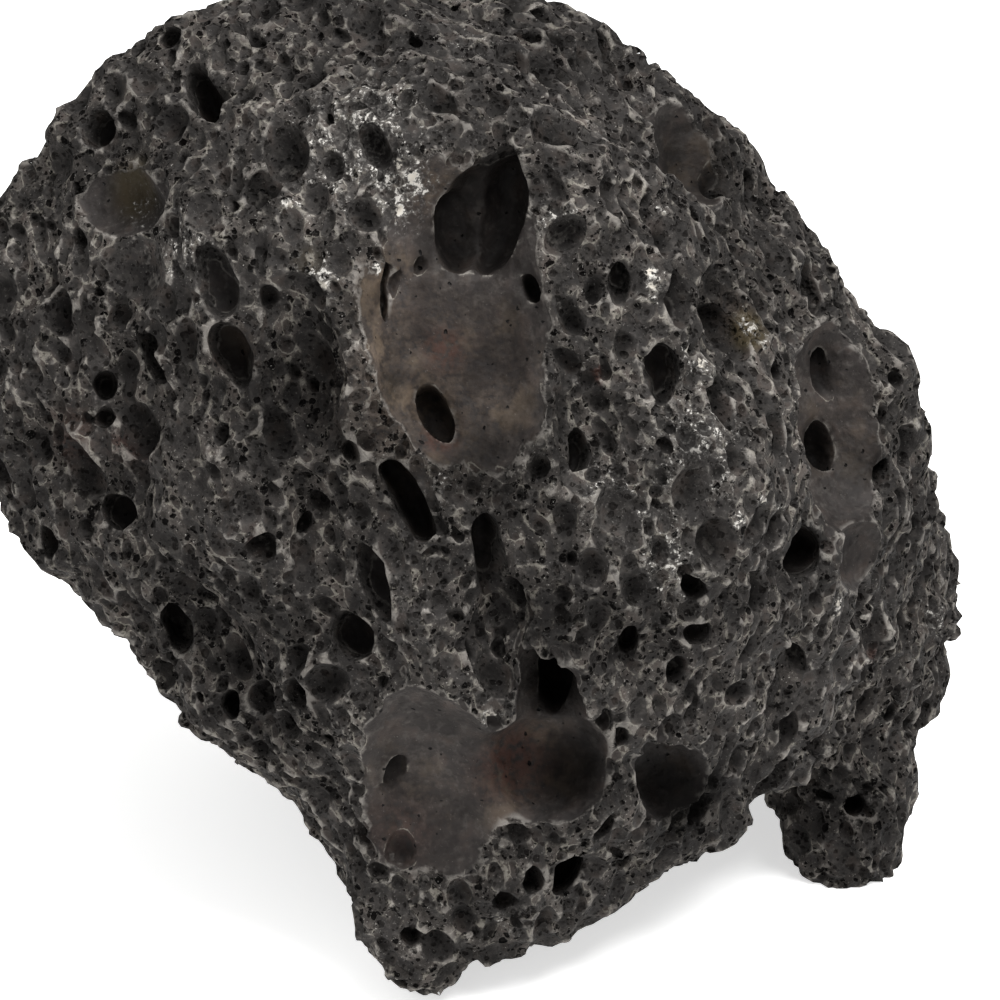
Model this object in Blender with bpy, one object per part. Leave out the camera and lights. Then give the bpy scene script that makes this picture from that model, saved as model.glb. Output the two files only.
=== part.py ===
"""A lava rock: one block of black vesicular basalt, about the size of a loaf of bread.

The block is a broken lump with fairly flat fracture faces and worn corners, and a second, smaller
lump low on its right that it also stands on. Gas bubbles are cut into it: wide smooth hollows where
a large bubble was broken open, deep single bubbles, and a scatter of smaller ones on every side.
It stands on small flats at Z = 0, with the origin under the middle of its box.
"""

import math

import bmesh
import bpy
import numpy as np

MM = 0.001
NODE = "lava_rock"

# The front is set out on a drawing sheet held square to someone who looks down on it by SHEET_TILT
# from SHEET_RANGE away. Across runs to their right and up runs up the sheet, both in mm from
# SHEET_CENTRE. Behind is how far beyond the sheet a corner lies, along their line of sight.
SHEET_TILT = math.radians(25.0)
SHEET_RANGE = 1111.0
SHEET_CENTRE = np.array([9.49, -32.44, 92.7])
RIGHT = np.array([1.0, 0.0, 0.0])
UP = np.array([0.0, math.sin(SHEET_TILT), math.cos(SHEET_TILT)])
AWAY = np.array([0.0, math.cos(SHEET_TILT), -math.sin(SHEET_TILT)])
VIEWER = SHEET_CENTRE - SHEET_RANGE * AWAY

# Corners of the main lump: across, up, behind.
BLOCK_CORNERS = [
    # rim, clockwise from the top
    (8, 98, -3), (24, 85, 3), (44, 82, 4), (54, 70, 9), (61, 59, 14), (68, 40, 20), (81, 28, 26),
    (90, 8, 35), (92, -24, 50), (86, -46, 61), (50, -62, 19), (20, -62, 4), (-41, -59, -6),
    (-59, -46, -1), (-77, -23, 1), (-90, -7, 3), (-106, 9, 5), (-115, 20, 8), (-118, 34, 5),
    (-108, 54, 0), (-95, 69, -2), (-82, 83, -6), (-68, 96, -6), (-54, 104, -5), (-34, 110, -4),
    (-10, 108, -3),
    # front face and the ridge on its right
    (-50, 76, -34), (-20, 76, -44), (8, 76, -38), (28, 60, -38), (40, 34, -36), (58, 4, -20),
    (70, -24, 2), (74, -40, 19), (28, -8, -42), (-4, 4, -45), (-30, 20, -45), (-60, 50, -33),
    (-88, 40, -16), (-70, 6, -25), (-40, -30, -29), (10, -40, -32), (36, -52, -11),
    # shoulders behind the rim
    (-62, 88, 40), (-30, 99, 40), (10, 87, 42), (44, 66, 50), (66, 34, 58), (86, 4, 66),
    # back
    (-48, 64, 90), (8, 60, 88), (50, 44, 84), (80, 14, 88), (84, -22, 98), (-102, 40, 52),
    (-100, 12, 64), (-60, 24, 96), (18, 22, 108), (-22, -18, 120), (40, -30, 116),
    # under the back, where it stands
    (-42, -50, 106), (-26, -42, 124), (54, -44, 121),
]  # fmt: skip

# Corners of the lump that tapers down to the front, and of the small one low on the right.
NOSE_CORNERS = [
    (-12, -103, 2), (-21, -98, -1), (-14, -101, 14), (-30, -80, -6), (-41, -60, -7), (-44, -32, -14),
    (4, -89, 2), (28, -76, 6), (48, -63, 18), (46, -42, 2), (-40, -30, -29), (-17, -67, -21),
    (12, -59, -24), (36, -52, -12), (-6, -22, -34), (-15, -90, 22), (-32, -62, 60), (22, -66, 62),
    (2, -78, 38), (-14, -40, 90), (30, -40, 84),
]  # fmt: skip
FOOT_CORNERS = [
    (51, -65, 44), (57, -73, 44), (66, -79, 46), (76, -80, 48), (82, -76, 54), (85, -63, 60),
    (86, -48, 62), (88, -32, 60), (60, -56, 36), (70, -63, 38), (79, -52, 42), (80, -67, 46),
    (78, -61, 84), (60, -56, 96), (80, -46, 104), (50, -50, 96), (50, -40, 70), (84, -34, 96),
]  # fmt: skip

# How the three lumps are worn, in mm: the width over which two faces round into each other, and how
# far the faces stand out to make good what that takes off.
BLOCK_WEAR = (2.2, 2.0)
NOSE_WEAR = (2.2, 2.0)
FOOT_WEAR = (4.0, 4.5)
NECK = 6.0  # mm of fillet where two lumps join
HEART = SHEET_CENTRE + (-5.0, 30.0, 2.3)  # a point deep inside, from which every side can be seen
HEART_REACH = 190.0  # mm from the heart, clear of the stone on every side
FRONT_REACH = 120.0  # mm before the sheet, clear of the front

# Unevenness of the broken faces, in mm: its wavelength, then its height in front and at the back.
LUMPS = [(46.0, 2.0, 7.0), (21.0, 2.2, 3.2), (9.5, 1.0, 1.2)]
BACK_STARTS, BACK_FULL = 10.0, 70.0  # mm behind the sheet between which the back's height comes in
LUMP_SEED = 11
LUMP_START = SHEET_CENTRE - (13.0, -30.0, 92.7)  # where the unevenness has its lattice's corner
LATTICE = 24  # cells before the unevenness repeats

BUBBLE_SEED = 5
BUBBLE_STRETCH_LEAN = -18.0  # degrees: the lava flowed, and drew its bubbles out along this lean

# Crests and shoulders that stand out of the front: across, up, half width, half length, height and
# lean in degrees.
FRONT_CRESTS = [
    (46, -6, 11, 30, 6.5, -14),
    (-14, -33, 24, 8, 5.0, 80),
    (-30, 28, 6, 26, 3.0, -4),
    (79, 27, 9, 9, 4.0, 0),
    (-56, 50, 22, 16, 4.0, 0),
    (16, 60, 16, 14, 3.0, 0),
    (-62, -10, 14, 16, 3.0, 0),
    (32, -44, 12, 8, 3.5, 40),
    (-26, -84, 8, 9, 3.0, 0),
    (9, 20, 6, 24, 3.0, 6),
    (17, -38, 5, 12, 3.5, -34),
    (-53, 20, 7, 20, 3.0, -8),
]

# Wide smooth hollows on the front, in the same measure with a depth for the height.
FRONT_HOLLOWS = [
    (-10, 35, 17.5, 31, 7, -8),
    (-16, -60, 15.5, 21.5, 6.5, 4),
    (9, -54, 13.5, 12, 12, -10),
    (35, -57, 10.5, 7, 11, 50),
    (68, 14, 14, 21, 8.5, -6),
    (73, -12, 9, 8, 4.5, 50),
    (-40, 23, 9, 18, 5.5, -6),
    (38, 69, 8, 11, 5.5, -12),
    (-77, 60, 6.5, 12, 5, 108),
    (-37, -7, 5, 13, 3, -16),
    (10, -42, 6.8, 14, 9.5, -3),
    (46, 38, 9, 9, 6, -20),
    (73, 41, 7, 8.5, 8, 40),
    (24, 90, 11, 6, 7, 62),
    (-74, 20, 8, 12, 4, -20),
    (0, -26, 5.5, 12, 5.5, 4),
    (-58, -30, 10, 15, 4, -40),
    (19, 14, 8, 12, 4.5, -6),
    (-77, 1, 9, 8, 3.5, 0),
    (58, -40, 6, 14, 3.5, -8),
    (30, 60, 9, 8, 3.5, 0),
]

# Deep single bubbles on the front, in the same measure.
FRONT_BUBBLES = [
    (-0.5, 57.5, 5.4, 12.5, 13, 14), (-9, 54, 4.4, 8.6, 9, -10), (-12.5, 17, 3.2, 6.4, 6, -18),
    (-5, 56.5, 7.2, 11.8, 8, 24), (-81, 74.5, 4.2, 3.8, 8, 30), (-59, 81.5, 2.9, 8, 10, -27),
    (-47.8, 62, 3.4, 4.2, 5, 0), (-57, 44, 3.8, 7.2, 5, -15), (-70, 29, 3, 5.8, 6, -12),
    (-53.5, 29, 3.8, 6.4, 6, -22), (-79, 23, 2.2, 3, 5, 0), (-79, 16.5, 2.1, 2.1, 5, 0),
    (-46.6, 40.5, 1.9, 2.7, 4, 0), (-43, 70, 4.4, 6.6, 4, -8), (-67, 76, 5, 5, 3, 0),
    (-76, 46, 8, 8, 3, 0), (-38, 84.5, 3.3, 3.1, 4, 0), (-19, 0, 3.1, 8.4, 11, -30),
    (-2.5, -12.5, 3, 10, 10, -10), (11, -34.5, 3.8, 8, 12, -3), (26.5, -28.5, 1.9, 3.6, 7, 0),
    (60.2, -10.4, 5.4, 4.8, 12, 0), (63.2, 10.5, 3.2, 5.4, 6, 0), (63.4, 27, 2, 7.2, 3, -22),
    (63.2, -53.4, 2.7, 3.2, 6, 0), (70.8, -61, 2.4, 2.2, 6, 0), (44, -9, 4.6, 5.6, 3.5, -20),
    (78.4, -41.8, 2, 2.4, 5, 0), (82, -44, 1.8, 2.4, 5, 0), (13.6, -74.6, 3.2, 4.6, 9, 20),
    (6.4, -76, 2.6, 2.2, 5, 60), (1, -79, 2.4, 2.2, 5, 60), (-19.4, -69.6, 3.2, 3.8, 2.4, 0),
    (-21.6, -53.6, 2.2, 4.2, 3, 0), (32, 66.5, 2.4, 2.8, 6, 0), (43, 64, 3.4, 4.4, 4, -10),
    (33.8, 53.5, 3.4, 4, 4, 0), (12.6, 53, 4, 4, 3, 0), (21.4, 61, 2.2, 5, 4, -14),
    (32.6, 25.6, 3.6, 6, 6, 0), (15, 9.4, 2.1, 5.2, 5, 4), (7.6, 6.2, 2.5, 2.2, 4, 60),
    (2.8, 88, 2.5, 4.4, 4, -10), (-76, -2, 4.4, 3.6, 6, 30), (-48, -9, 2.9, 2.9, 4, 0),
    (-65, -25.8, 2.8, 5.4, 9, -14), (-53.8, -40.6, 1.8, 3, 6, 0), (-47.6, -39.4, 3.2, 4, 5, 0),
    (-24.8, -16.2, 3, 7, 6, -22), (-44, 14, 2.6, 5.8, 3, -10), (-41, -32, 2.7, 2.9, 4, 0),
    (-68, 62, 2.6, 4.6, 2.5, 0), (-66, 55, 2.6, 2.2, 4, 0), (38.2, -17.2, 2.9, 2.1, 5, 30),
    (34.2, -34.2, 2, 3, 4, 0), (57.8, -46, 2.1, 4.4, 3, -5), (39.2, -26.6, 2.5, 2.5, 4, 0),
    (6.4, 42.6, 1.9, 2.9, 5, -10), (-7.6, -84, 2.6, 3.2, 3, 0), (-17.4, -87, 2, 1.9, 4, 0),
    (50, -30, 2.4, 3, 3, -10), (24, 44, 2, 4, 4, -12), (19, -14, 3, 3.6, 3, 0),
    (3.6, -17.6, 2.6, 3.6, 3, 0), (60, -31, 2, 4, 4, -14),
]  # fmt: skip

# Wide hollows on the sides, the back and the top: compass turn from straight behind and height
# above level, both in degrees seen from the heart, then half width, half length, depth and lean.
FAR_HOLLOWS = [
    (12, 8, 22, 17, 7.0, 30), (-28, -22, 15, 20, 6.0, -20), (48, 30, 17, 13, 5.5, 10),
    (-52, 24, 19, 15, 6.0, 40), (80, -6, 14, 19, 6.0, 0), (-84, 12, 14, 18, 5.5, -20),
    (10, 62, 20, 14, 5.0, 70), (36, -34, 14, 11, 6.0, 0), (-6, -2, 9, 7, 12.0, 20),
    # under the stone, between the flats that it stands on
    (0, -86, 30, 22, 8.0, 20), (176, -60, 20, 15, 7.0, 0), (62, -60, 20, 15, 7.5, 40),
    (-54, -64, 17, 15, 7.0, -30), (118, -62, 15, 13, 7.0, 10), (14, -58, 17, 12, 6.0, 70),
]  # fmt: skip

FAR_BUBBLES = 105  # medium bubbles scattered over every side that the two lists leave bare
FAR_BUBBLE_HALF_WIDTH = (2.2, 4.6)  # mm
DIP_TURN, BUBBLE_TURN = 0.7, 2.0  # how far hollows and bubbles of the front turn to the viewer
CLEAR_OF_NEIGHBOURS = 1.25  # a scattered bubble keeps this many half widths off the listed ones

BALL_STEPS = 6  # subdivisions of the ball that becomes the block
BIG_CUTTER = 7.0  # mm of half size from which a hollow takes the finer ball
BIG_CUTTER_STEPS = 3  # subdivisions of a hollow
SMALL_CUTTER_STEPS = 2  # subdivisions of a bubble
FACETS_KEPT = 0.195  # share of the facets that is left once flat stretches are thinned
GROUND_SLAB = 0.4  # m, the side of the slab below the feet

BASALT_COLOUR = (0.032, 0.030, 0.029, 1.0)
BASALT_ROUGHNESS = 0.85


def sheet_point(across, up, behind=0.0):
    """Where a point of the drawing sheet lies, in mm; behind moves it along its line of sight."""
    on_sheet = SHEET_CENTRE + across * RIGHT + up * UP
    return VIEWER + (on_sheet - VIEWER) * (1.0 + behind / SHEET_RANGE)


def fracture_faces(corners):
    """The faces round a set of sheet corners, as outward normals and distances from the origin."""
    shell = bmesh.new()
    for corner in corners:
        shell.verts.new(sheet_point(*corner))
    hull = bmesh.ops.convex_hull(shell, input=shell.verts)
    loose = [v for v in hull["geom_interior"] + hull["geom_unused"] if isinstance(v, bmesh.types.BMVert)]
    bmesh.ops.delete(shell, geom=list(set(loose)), context="VERTS")
    bmesh.ops.dissolve_limit(
        shell, angle_limit=math.radians(4.0), verts=shell.verts, edges=shell.edges
    )
    bmesh.ops.recalc_face_normals(shell, faces=shell.faces)
    normals = np.array([face.normal for face in shell.faces])
    middles = np.array([face.calc_center_median() for face in shell.faces])
    shell.free()
    return normals, np.einsum("ij,ij->i", normals, middles)


BLOCK_FACES = fracture_faces(BLOCK_CORNERS)
NOSE_FACES = fracture_faces(NOSE_CORNERS)
FOOT_FACES = fracture_faces(FOOT_CORNERS)


def worn_lump(points, faces, wear):
    """Distance outside a lump with these faces: the largest face distance, eased over the wear."""
    normals, offsets = faces
    rounding, swell = wear
    outside = points @ normals.T - offsets
    most = outside.max(axis=1)
    eased = np.exp((outside - most[:, None]) / rounding).sum(axis=1)
    return most + rounding * np.log(eased) - swell


def unevenness(points, wavelength, seed):
    """Smooth noise from -1 to 1: seeded values at lattice corners, blended by a smoothstep."""
    values = np.random.default_rng(seed).uniform(-1.0, 1.0, (LATTICE,) * 3)
    cell = np.floor(points / wavelength).astype(int)
    part = points / wavelength - cell
    part = part * part * (3.0 - 2.0 * part)
    total = np.zeros(len(points))
    for corner in np.ndindex(2, 2, 2):
        index = (cell + corner) % LATTICE
        weight = np.where(corner, part, 1.0 - part).prod(axis=1)
        total += weight * values[index[:, 0], index[:, 1], index[:, 2]]
    return total


def fused(one, other):
    """The lesser of two distances, with a fillet of NECK where they come close."""
    share = np.clip(0.5 + 0.5 * (other - one) / NECK, 0.0, 1.0)
    return other + (one - other) * share - NECK * share * (1.0 - share)


def broken_lumps(points):
    """How far outside the joined lumps each point lies, in mm, before the crests are added."""
    block_and_nose = fused(
        worn_lump(points, BLOCK_FACES, BLOCK_WEAR), worn_lump(points, NOSE_FACES, NOSE_WEAR)
    )
    outside = fused(block_and_nose, worn_lump(points, FOOT_FACES, FOOT_WEAR))
    behind = (points - SHEET_CENTRE) @ AWAY
    back = np.clip((behind - BACK_STARTS) / (BACK_FULL - BACK_STARTS), 0.0, 1.0)
    for turn, (wavelength, front_height, back_height) in enumerate(LUMPS):
        height = front_height + (back_height - front_height) * back
        outside += height * unevenness(points - LUMP_START, wavelength, LUMP_SEED + turn)
    return outside


def stone(points):
    """How far outside the unbroken stone each point lies, in mm; negative inside.

    Each crest takes off its height times a bell curve, which is as wide and as long as its half
    sizes and as deep as its half width.
    """
    outside = broken_lumps(points)
    for centre, frame, (half_width, half_length, height) in CRESTS:
        away = (points - centre) @ frame.T / (half_width, half_length, half_width)
        outside -= height * np.exp(-np.square(away).sum(axis=1))
    return outside


def first_hits(surface, starts, directions, reach, steps=120):
    """Where rays from outside first meet a surface: marched in steps, then halved in."""
    near = np.zeros(len(starts))
    far = np.full(len(starts), reach)
    found = np.zeros(len(starts), bool)
    for step in range(1, steps + 1):
        along = reach * step / steps
        seek = ~found
        inside = surface(starts[seek] + directions[seek] * along) < 0.0
        hit = np.flatnonzero(seek)[inside]
        near[hit], far[hit], found[hit] = reach * (step - 1) / steps, along, True
    for _ in range(18):
        middle = 0.5 * (near + far)
        inside = surface(starts + directions * middle[:, None]) < 0.0
        far = np.where(inside, middle, far)
        near = np.where(inside, near, middle)
    return starts + directions * far[:, None]


def outward(surface, points, nudge=1.5):
    """A surface's outward direction at points on it, from how the distance changes each way."""
    slopes = [surface(points + nudge * axis) - surface(points - nudge * axis) for axis in np.eye(3)]
    slope = np.stack(slopes, axis=1)
    return slope / np.linalg.norm(slope, axis=1, keepdims=True)


def on_front(surface, rows):
    """Points of a surface where the sheet rows fall on it, with its outward directions."""
    targets = np.array([sheet_point(row[0], row[1]) for row in rows])
    directions = targets - VIEWER
    directions /= np.linalg.norm(directions, axis=1, keepdims=True)
    points = first_hits(surface, targets - FRONT_REACH * directions, directions, 3.0 * FRONT_REACH)
    return points, outward(surface, points)


def from_heart(directions):
    """The stone's surface along directions from the heart, with its outward directions."""
    points = first_hits(stone, HEART + HEART_REACH * directions, -directions, HEART_REACH - 1.0)
    return points, outward(stone, points)


def surface_frames(normals, leans):
    """Width, length and depth directions on a surface: the length follows the lean across it."""
    lean = np.radians(leans)[:, None]
    length = np.cos(lean) * UP + np.sin(lean) * RIGHT
    length = length - (length * normals).sum(axis=1, keepdims=True) * normals
    length /= np.linalg.norm(length, axis=1, keepdims=True)
    return np.stack([np.cross(length, normals), length, normals], axis=1)


def crests():
    """Each crest of the front as its centre on the broken face, its frame and its three sizes."""
    rows = np.array(FRONT_CRESTS, float)
    centres, normals = on_front(broken_lumps, rows)
    return list(zip(centres, surface_frames(normals, rows[:, 5]), rows[:, 2:5], strict=True))


CRESTS = crests()


def hollows(openings, normals, rows):
    """Ellipsoids as (centres, frames, half sizes) from rows of half width, half length, depth, lean.

    A shallow hollow is the cap of a ball whose centre stands above the surface; a deep one is more
    than half a ball, narrower at its mouth than inside.
    """
    width, length, depth, lean = np.asarray(rows, float).T
    lift = np.clip(1.0 - depth / np.minimum(width, length), -0.35, 0.7)
    half_depth = depth / (1.0 - lift)
    mouth = np.sqrt(1.0 - lift**2)
    centres = openings + normals * (lift * half_depth)[:, None]
    sizes = np.stack([width / mouth, length / mouth, half_depth], axis=1)
    return centres, surface_frames(normals, lean), sizes


def facing_viewer(normals, turn):
    """Normals with turn times the way back to the viewer added, made unit long."""
    turned = normals - turn * AWAY
    return turned / np.linalg.norm(turned, axis=1, keepdims=True)


def compass(turn, height):
    """Unit directions for degrees of turn from straight behind (+Y, towards +X) and of height."""
    turn, height = np.radians(turn), np.radians(height)
    flat = np.cos(height)
    return np.stack([flat * np.sin(turn), flat * np.cos(turn), np.sin(height)], axis=-1)


def scattered(taken, taken_reach):
    """Medium bubbles over the whole stone, one at a time, each clear of those already there."""
    dice = np.random.default_rng(BUBBLE_SEED)
    upright = dice.uniform(-0.93, 0.99, 900)
    around = dice.uniform(0.0, 360.0, 900)
    openings, normals = from_heart(compass(around, np.degrees(np.arcsin(upright))))
    width = FAR_BUBBLE_HALF_WIDTH[0] * (
        FAR_BUBBLE_HALF_WIDTH[1] / FAR_BUBBLE_HALF_WIDTH[0]
    ) ** (dice.uniform(size=900) ** 1.6)
    rows = np.stack(
        [
            width,
            width * dice.uniform(1.0, 2.0, 900),
            width * dice.uniform(1.0, 1.9, 900),
            BUBBLE_STRETCH_LEAN + dice.normal(0.0, 14.0, 900),
        ],
        axis=1,
    )
    kept = []
    for number in range(900):
        reach = rows[number, :2].max() * CLEAR_OF_NEIGHBOURS
        gap = np.linalg.norm(taken - openings[number], axis=1) - taken_reach
        if len(kept) < FAR_BUBBLES and gap.min() > reach:
            kept.append(number)
            taken = np.vstack([taken, openings[number]])
            taken_reach = np.append(taken_reach, reach)
    return openings[kept], normals[kept], rows[kept]


def dented(points, dips):
    """The stone with its front hollows taken out: where a point lies at q times a hollow's half
    sizes, it is about (1 - q) times the mean half size inside, and the largest distance counts."""
    outside = stone(points)
    for centre, axes, size in zip(*dips, strict=True):
        q = np.linalg.norm((points - centre) @ axes.T / size, axis=1)
        outside = np.maximum(outside, (1.0 - q) * size.mean())
    return outside


def all_hollows():
    """Every hollow and bubble of the stone: wide hollows, the bubbles in them, the far sides."""
    dip_rows, bubble_rows = np.array(FRONT_HOLLOWS, float), np.array(FRONT_BUBBLES, float)
    far_rows = np.array(FAR_HOLLOWS, float)
    dip_points, dip_out = on_front(stone, dip_rows)
    dips = hollows(dip_points, facing_viewer(dip_out, DIP_TURN), dip_rows[:, 2:])
    bubble_points, bubble_out = on_front(lambda points: dented(points, dips), bubble_rows)
    bubbles = hollows(bubble_points, facing_viewer(bubble_out, BUBBLE_TURN), bubble_rows[:, 2:])
    far_points, far_out = from_heart(compass(far_rows[:, 0], far_rows[:, 1]))
    far = hollows(far_points, far_out, far_rows[:, 2:])
    openings = np.vstack([dip_points, bubble_points, far_points])
    rows = np.vstack([dip_rows[:, 2:], bubble_rows[:, 2:], far_rows[:, 2:]])
    more = hollows(*scattered(openings, rows[:, :2].max(axis=1)))
    return tuple(np.concatenate(parts) for parts in zip(dips, bubbles, far, more, strict=True))


def groups_apart(centres, reaches):
    """Sorts bubbles into groups in which none touches another, so that one cut takes a group."""
    groups = []
    for number, centre in enumerate(centres):
        for group in groups:
            gaps = np.linalg.norm(centres[group] - centre, axis=1) - reaches[group] - reaches[number]
            if gaps.min() > 0.0:
                group.append(number)
                break
        else:
            groups.append([number])
    return groups


def new_object(name, shape, collection):
    """Makes the bmesh an object of the collection."""
    bmesh.ops.recalc_face_normals(shape, faces=shape.faces)
    mesh = bpy.data.meshes.new(name)
    shape.to_mesh(mesh)
    shape.free()
    made = bpy.data.objects.new(name, mesh)
    collection.objects.link(made)
    return made


def basalt():
    """Black basalt: dark, rough and not metallic."""
    material = bpy.data.materials.new("black_basalt")
    material.use_nodes = True
    shader = material.node_tree.nodes["Principled BSDF"]
    shader.inputs["Base Color"].default_value = BASALT_COLOUR
    shader.inputs["Roughness"].default_value = BASALT_ROUGHNESS
    shader.inputs["Metallic"].default_value = 0.0
    return material


def unbroken_block(collection):
    """A ball whose every point is slid along its line from the heart onto the stone's surface."""
    ball = bmesh.new()
    bmesh.ops.create_icosphere(ball, subdivisions=BALL_STEPS, radius=1.0)
    directions = np.array([vert.co.normalized() for vert in ball.verts])
    surface, _ = from_heart(directions)
    for vert, place in zip(ball.verts, surface * MM, strict=True):
        vert.co = place
    block = new_object(NODE, ball, collection)
    block.data.materials.append(basalt())
    return block


def bubble_group(name, centres, frames, sizes, collection):
    """Gas bubbles that stand apart: each a ball stretched to its half sizes, turned into its frame."""
    balls = bmesh.new()
    for centre, frame, size in zip(centres, frames, sizes, strict=True):
        steps = BIG_CUTTER_STEPS if size.max() > BIG_CUTTER else SMALL_CUTTER_STEPS
        ball = bmesh.ops.create_icosphere(balls, subdivisions=steps, radius=1.0)
        for vert in ball["verts"]:
            vert.co = (centre + (frame.T * size) @ np.array(vert.co)) * MM
    return as_cutter(new_object(name, balls, collection))


def ground_cutter(collection):
    """A slab below the standing height, which leaves the feet flat."""
    slab = bmesh.new()
    bmesh.ops.create_cube(slab, size=GROUND_SLAB)
    bmesh.ops.translate(slab, vec=(0.0, 0.0, -GROUND_SLAB / 2), verts=slab.verts)
    return as_cutter(new_object("ground_cutter", slab, collection))


def as_cutter(helper):
    helper.hide_render = True
    helper.display_type = "WIRE"
    return helper


def cut(block, cutter):
    """Takes the cutter out of the block with an exact Boolean."""
    boolean = block.modifiers.new("less " + cutter.name, "BOOLEAN")
    boolean.operation = "DIFFERENCE"
    boolean.solver = "EXACT"
    boolean.object = cutter


def make_collection(name):
    collection = bpy.data.collections.new(name)
    bpy.context.scene.collection.children.link(collection)
    return collection


def main():
    for leftover in list(bpy.data.objects):
        bpy.data.objects.remove(leftover)
    block = unbroken_block(make_collection("lava rock"))
    cutters = make_collection("cutters")

    centres, frames, sizes = all_hollows()
    for number, group in enumerate(groups_apart(centres, sizes.max(axis=1))):
        name = f"bubbles_{number + 1}"
        cut(block, bubble_group(name, centres[group], frames[group], sizes[group], cutters))

    facets = block.modifiers.new("facets", "DECIMATE")
    facets.ratio = FACETS_KEPT
    cut(block, ground_cutter(cutters))


if __name__ == "__main__":
    main()
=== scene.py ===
# %% [markdown]
# # A lava rock, from its gas bubbles up
#
# This notebook dresses one block of black vesicular lava. The solid that was packed for it has the
# block's large forms and its larger bubbles. Here the block gets what makes it look like lava: a
# foam of thousands of gas bubbles cut open by the break, with thin walls between them, then the
# grain and the colours of basalt.
#
# All lengths are millimetres until the mesh is made, because that is how such a stone is measured.

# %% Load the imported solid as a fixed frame
import math

import bmesh
import bpy
import mathutils
import numpy as np
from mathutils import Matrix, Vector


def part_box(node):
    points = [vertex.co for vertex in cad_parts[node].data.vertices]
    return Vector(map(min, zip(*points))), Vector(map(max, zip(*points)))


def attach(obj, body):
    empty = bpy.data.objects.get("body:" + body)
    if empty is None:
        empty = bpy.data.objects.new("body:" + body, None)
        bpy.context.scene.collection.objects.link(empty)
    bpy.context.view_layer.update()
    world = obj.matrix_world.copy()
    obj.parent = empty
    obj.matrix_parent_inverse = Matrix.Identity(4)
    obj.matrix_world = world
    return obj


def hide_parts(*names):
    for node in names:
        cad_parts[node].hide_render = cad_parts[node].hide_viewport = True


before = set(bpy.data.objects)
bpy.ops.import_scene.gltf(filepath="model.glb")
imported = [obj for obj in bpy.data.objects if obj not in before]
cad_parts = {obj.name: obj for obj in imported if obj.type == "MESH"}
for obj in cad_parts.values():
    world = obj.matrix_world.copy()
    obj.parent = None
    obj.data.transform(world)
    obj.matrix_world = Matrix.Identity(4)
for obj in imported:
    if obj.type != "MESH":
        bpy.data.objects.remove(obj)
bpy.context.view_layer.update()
NODE = "lava_rock"
MM = 0.001
low, high = (np.array(corner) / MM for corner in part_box(NODE))
print("solid box in mm:", low.round(1), high.round(1))

# %% [markdown]
# ## The drawing sheet
#
# The stone's front is set out on a sheet held square to someone who looks down on it at 25 degrees
# from a little over a metre. Across and up are millimetres on the sheet, and behind is how far
# beyond it a point lies along their line of sight. The sheet keeps the numbers readable: a bubble
# is placed where it is seen, and a ray finds how deep the stone's surface is there. The solid was
# set out on the same sheet, so both agree.

# %% Measure on the sheet
SHEET_TILT = math.radians(25.0)
SHEET_RANGE = 1111.0
SHEET_CENTRE = np.array([9.49, -32.44, 92.7])
RIGHT = np.array([1.0, 0.0, 0.0])
UP = np.array([0.0, math.sin(SHEET_TILT), math.cos(SHEET_TILT)])
AWAY = np.array([0.0, math.cos(SHEET_TILT), -math.sin(SHEET_TILT)])
VIEWER = SHEET_CENTRE - SHEET_RANGE * AWAY


def sheet_point(across, up, behind=0.0):
    """Where a point of the sheet lies: it slides along its own line of sight by the part behind."""
    on_sheet = SHEET_CENTRE + across * RIGHT + up * UP
    return VIEWER + (on_sheet - VIEWER) * (1.0 + behind / SHEET_RANGE)


print("the middle of the sheet is at", sheet_point(0, 0))

# %% [markdown]
# ## Broken faces
#
# A block of lava breaks along fairly flat faces that wear at their corners. Three lumps do it
# here: the block, a nose that tapers to the front, and a small foot low on the right. Each is the
# space inside a set of planes. The planes could be typed in one by one, but corners are easier to
# place, so the corners are listed and Blender's convex hull finds the planes between them.

# %% Corners of the three lumps: across, up, behind
BLOCK_CORNERS = [
    # rim, clockwise from the top
    (8, 98, -3), (24, 85, 3), (44, 82, 4), (54, 70, 9), (61, 59, 14), (68, 40, 20), (81, 28, 26),
    (90, 8, 35), (92, -24, 50), (86, -46, 61), (50, -62, 19), (20, -62, 4), (-41, -59, -6),
    (-59, -46, -1), (-77, -23, 1), (-90, -7, 3), (-106, 9, 5), (-115, 20, 8), (-118, 34, 5),
    (-108, 54, 0), (-95, 69, -2), (-82, 83, -6), (-68, 96, -6), (-54, 104, -5), (-34, 110, -4),
    (-10, 108, -3),
    # front face and the ridge on its right
    (-50, 76, -34), (-20, 76, -44), (8, 76, -38), (28, 60, -38), (40, 34, -36), (58, 4, -20),
    (70, -24, 2), (74, -40, 19), (28, -8, -42), (-4, 4, -45), (-30, 20, -45), (-60, 50, -33),
    (-88, 40, -16), (-70, 6, -25), (-40, -30, -29), (10, -40, -32), (36, -52, -11),
    # shoulders behind the rim
    (-62, 88, 40), (-30, 99, 40), (10, 87, 42), (44, 66, 50), (66, 34, 58), (86, 4, 66),
    # back
    (-48, 64, 90), (8, 60, 88), (50, 44, 84), (80, 14, 88), (84, -22, 98), (-102, 40, 52),
    (-100, 12, 64), (-60, 24, 96), (18, 22, 108), (-22, -18, 120), (40, -30, 116),
    # under the back, where it stands
    (-42, -50, 106), (-26, -42, 124), (54, -44, 121),
]  # fmt: skip
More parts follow.
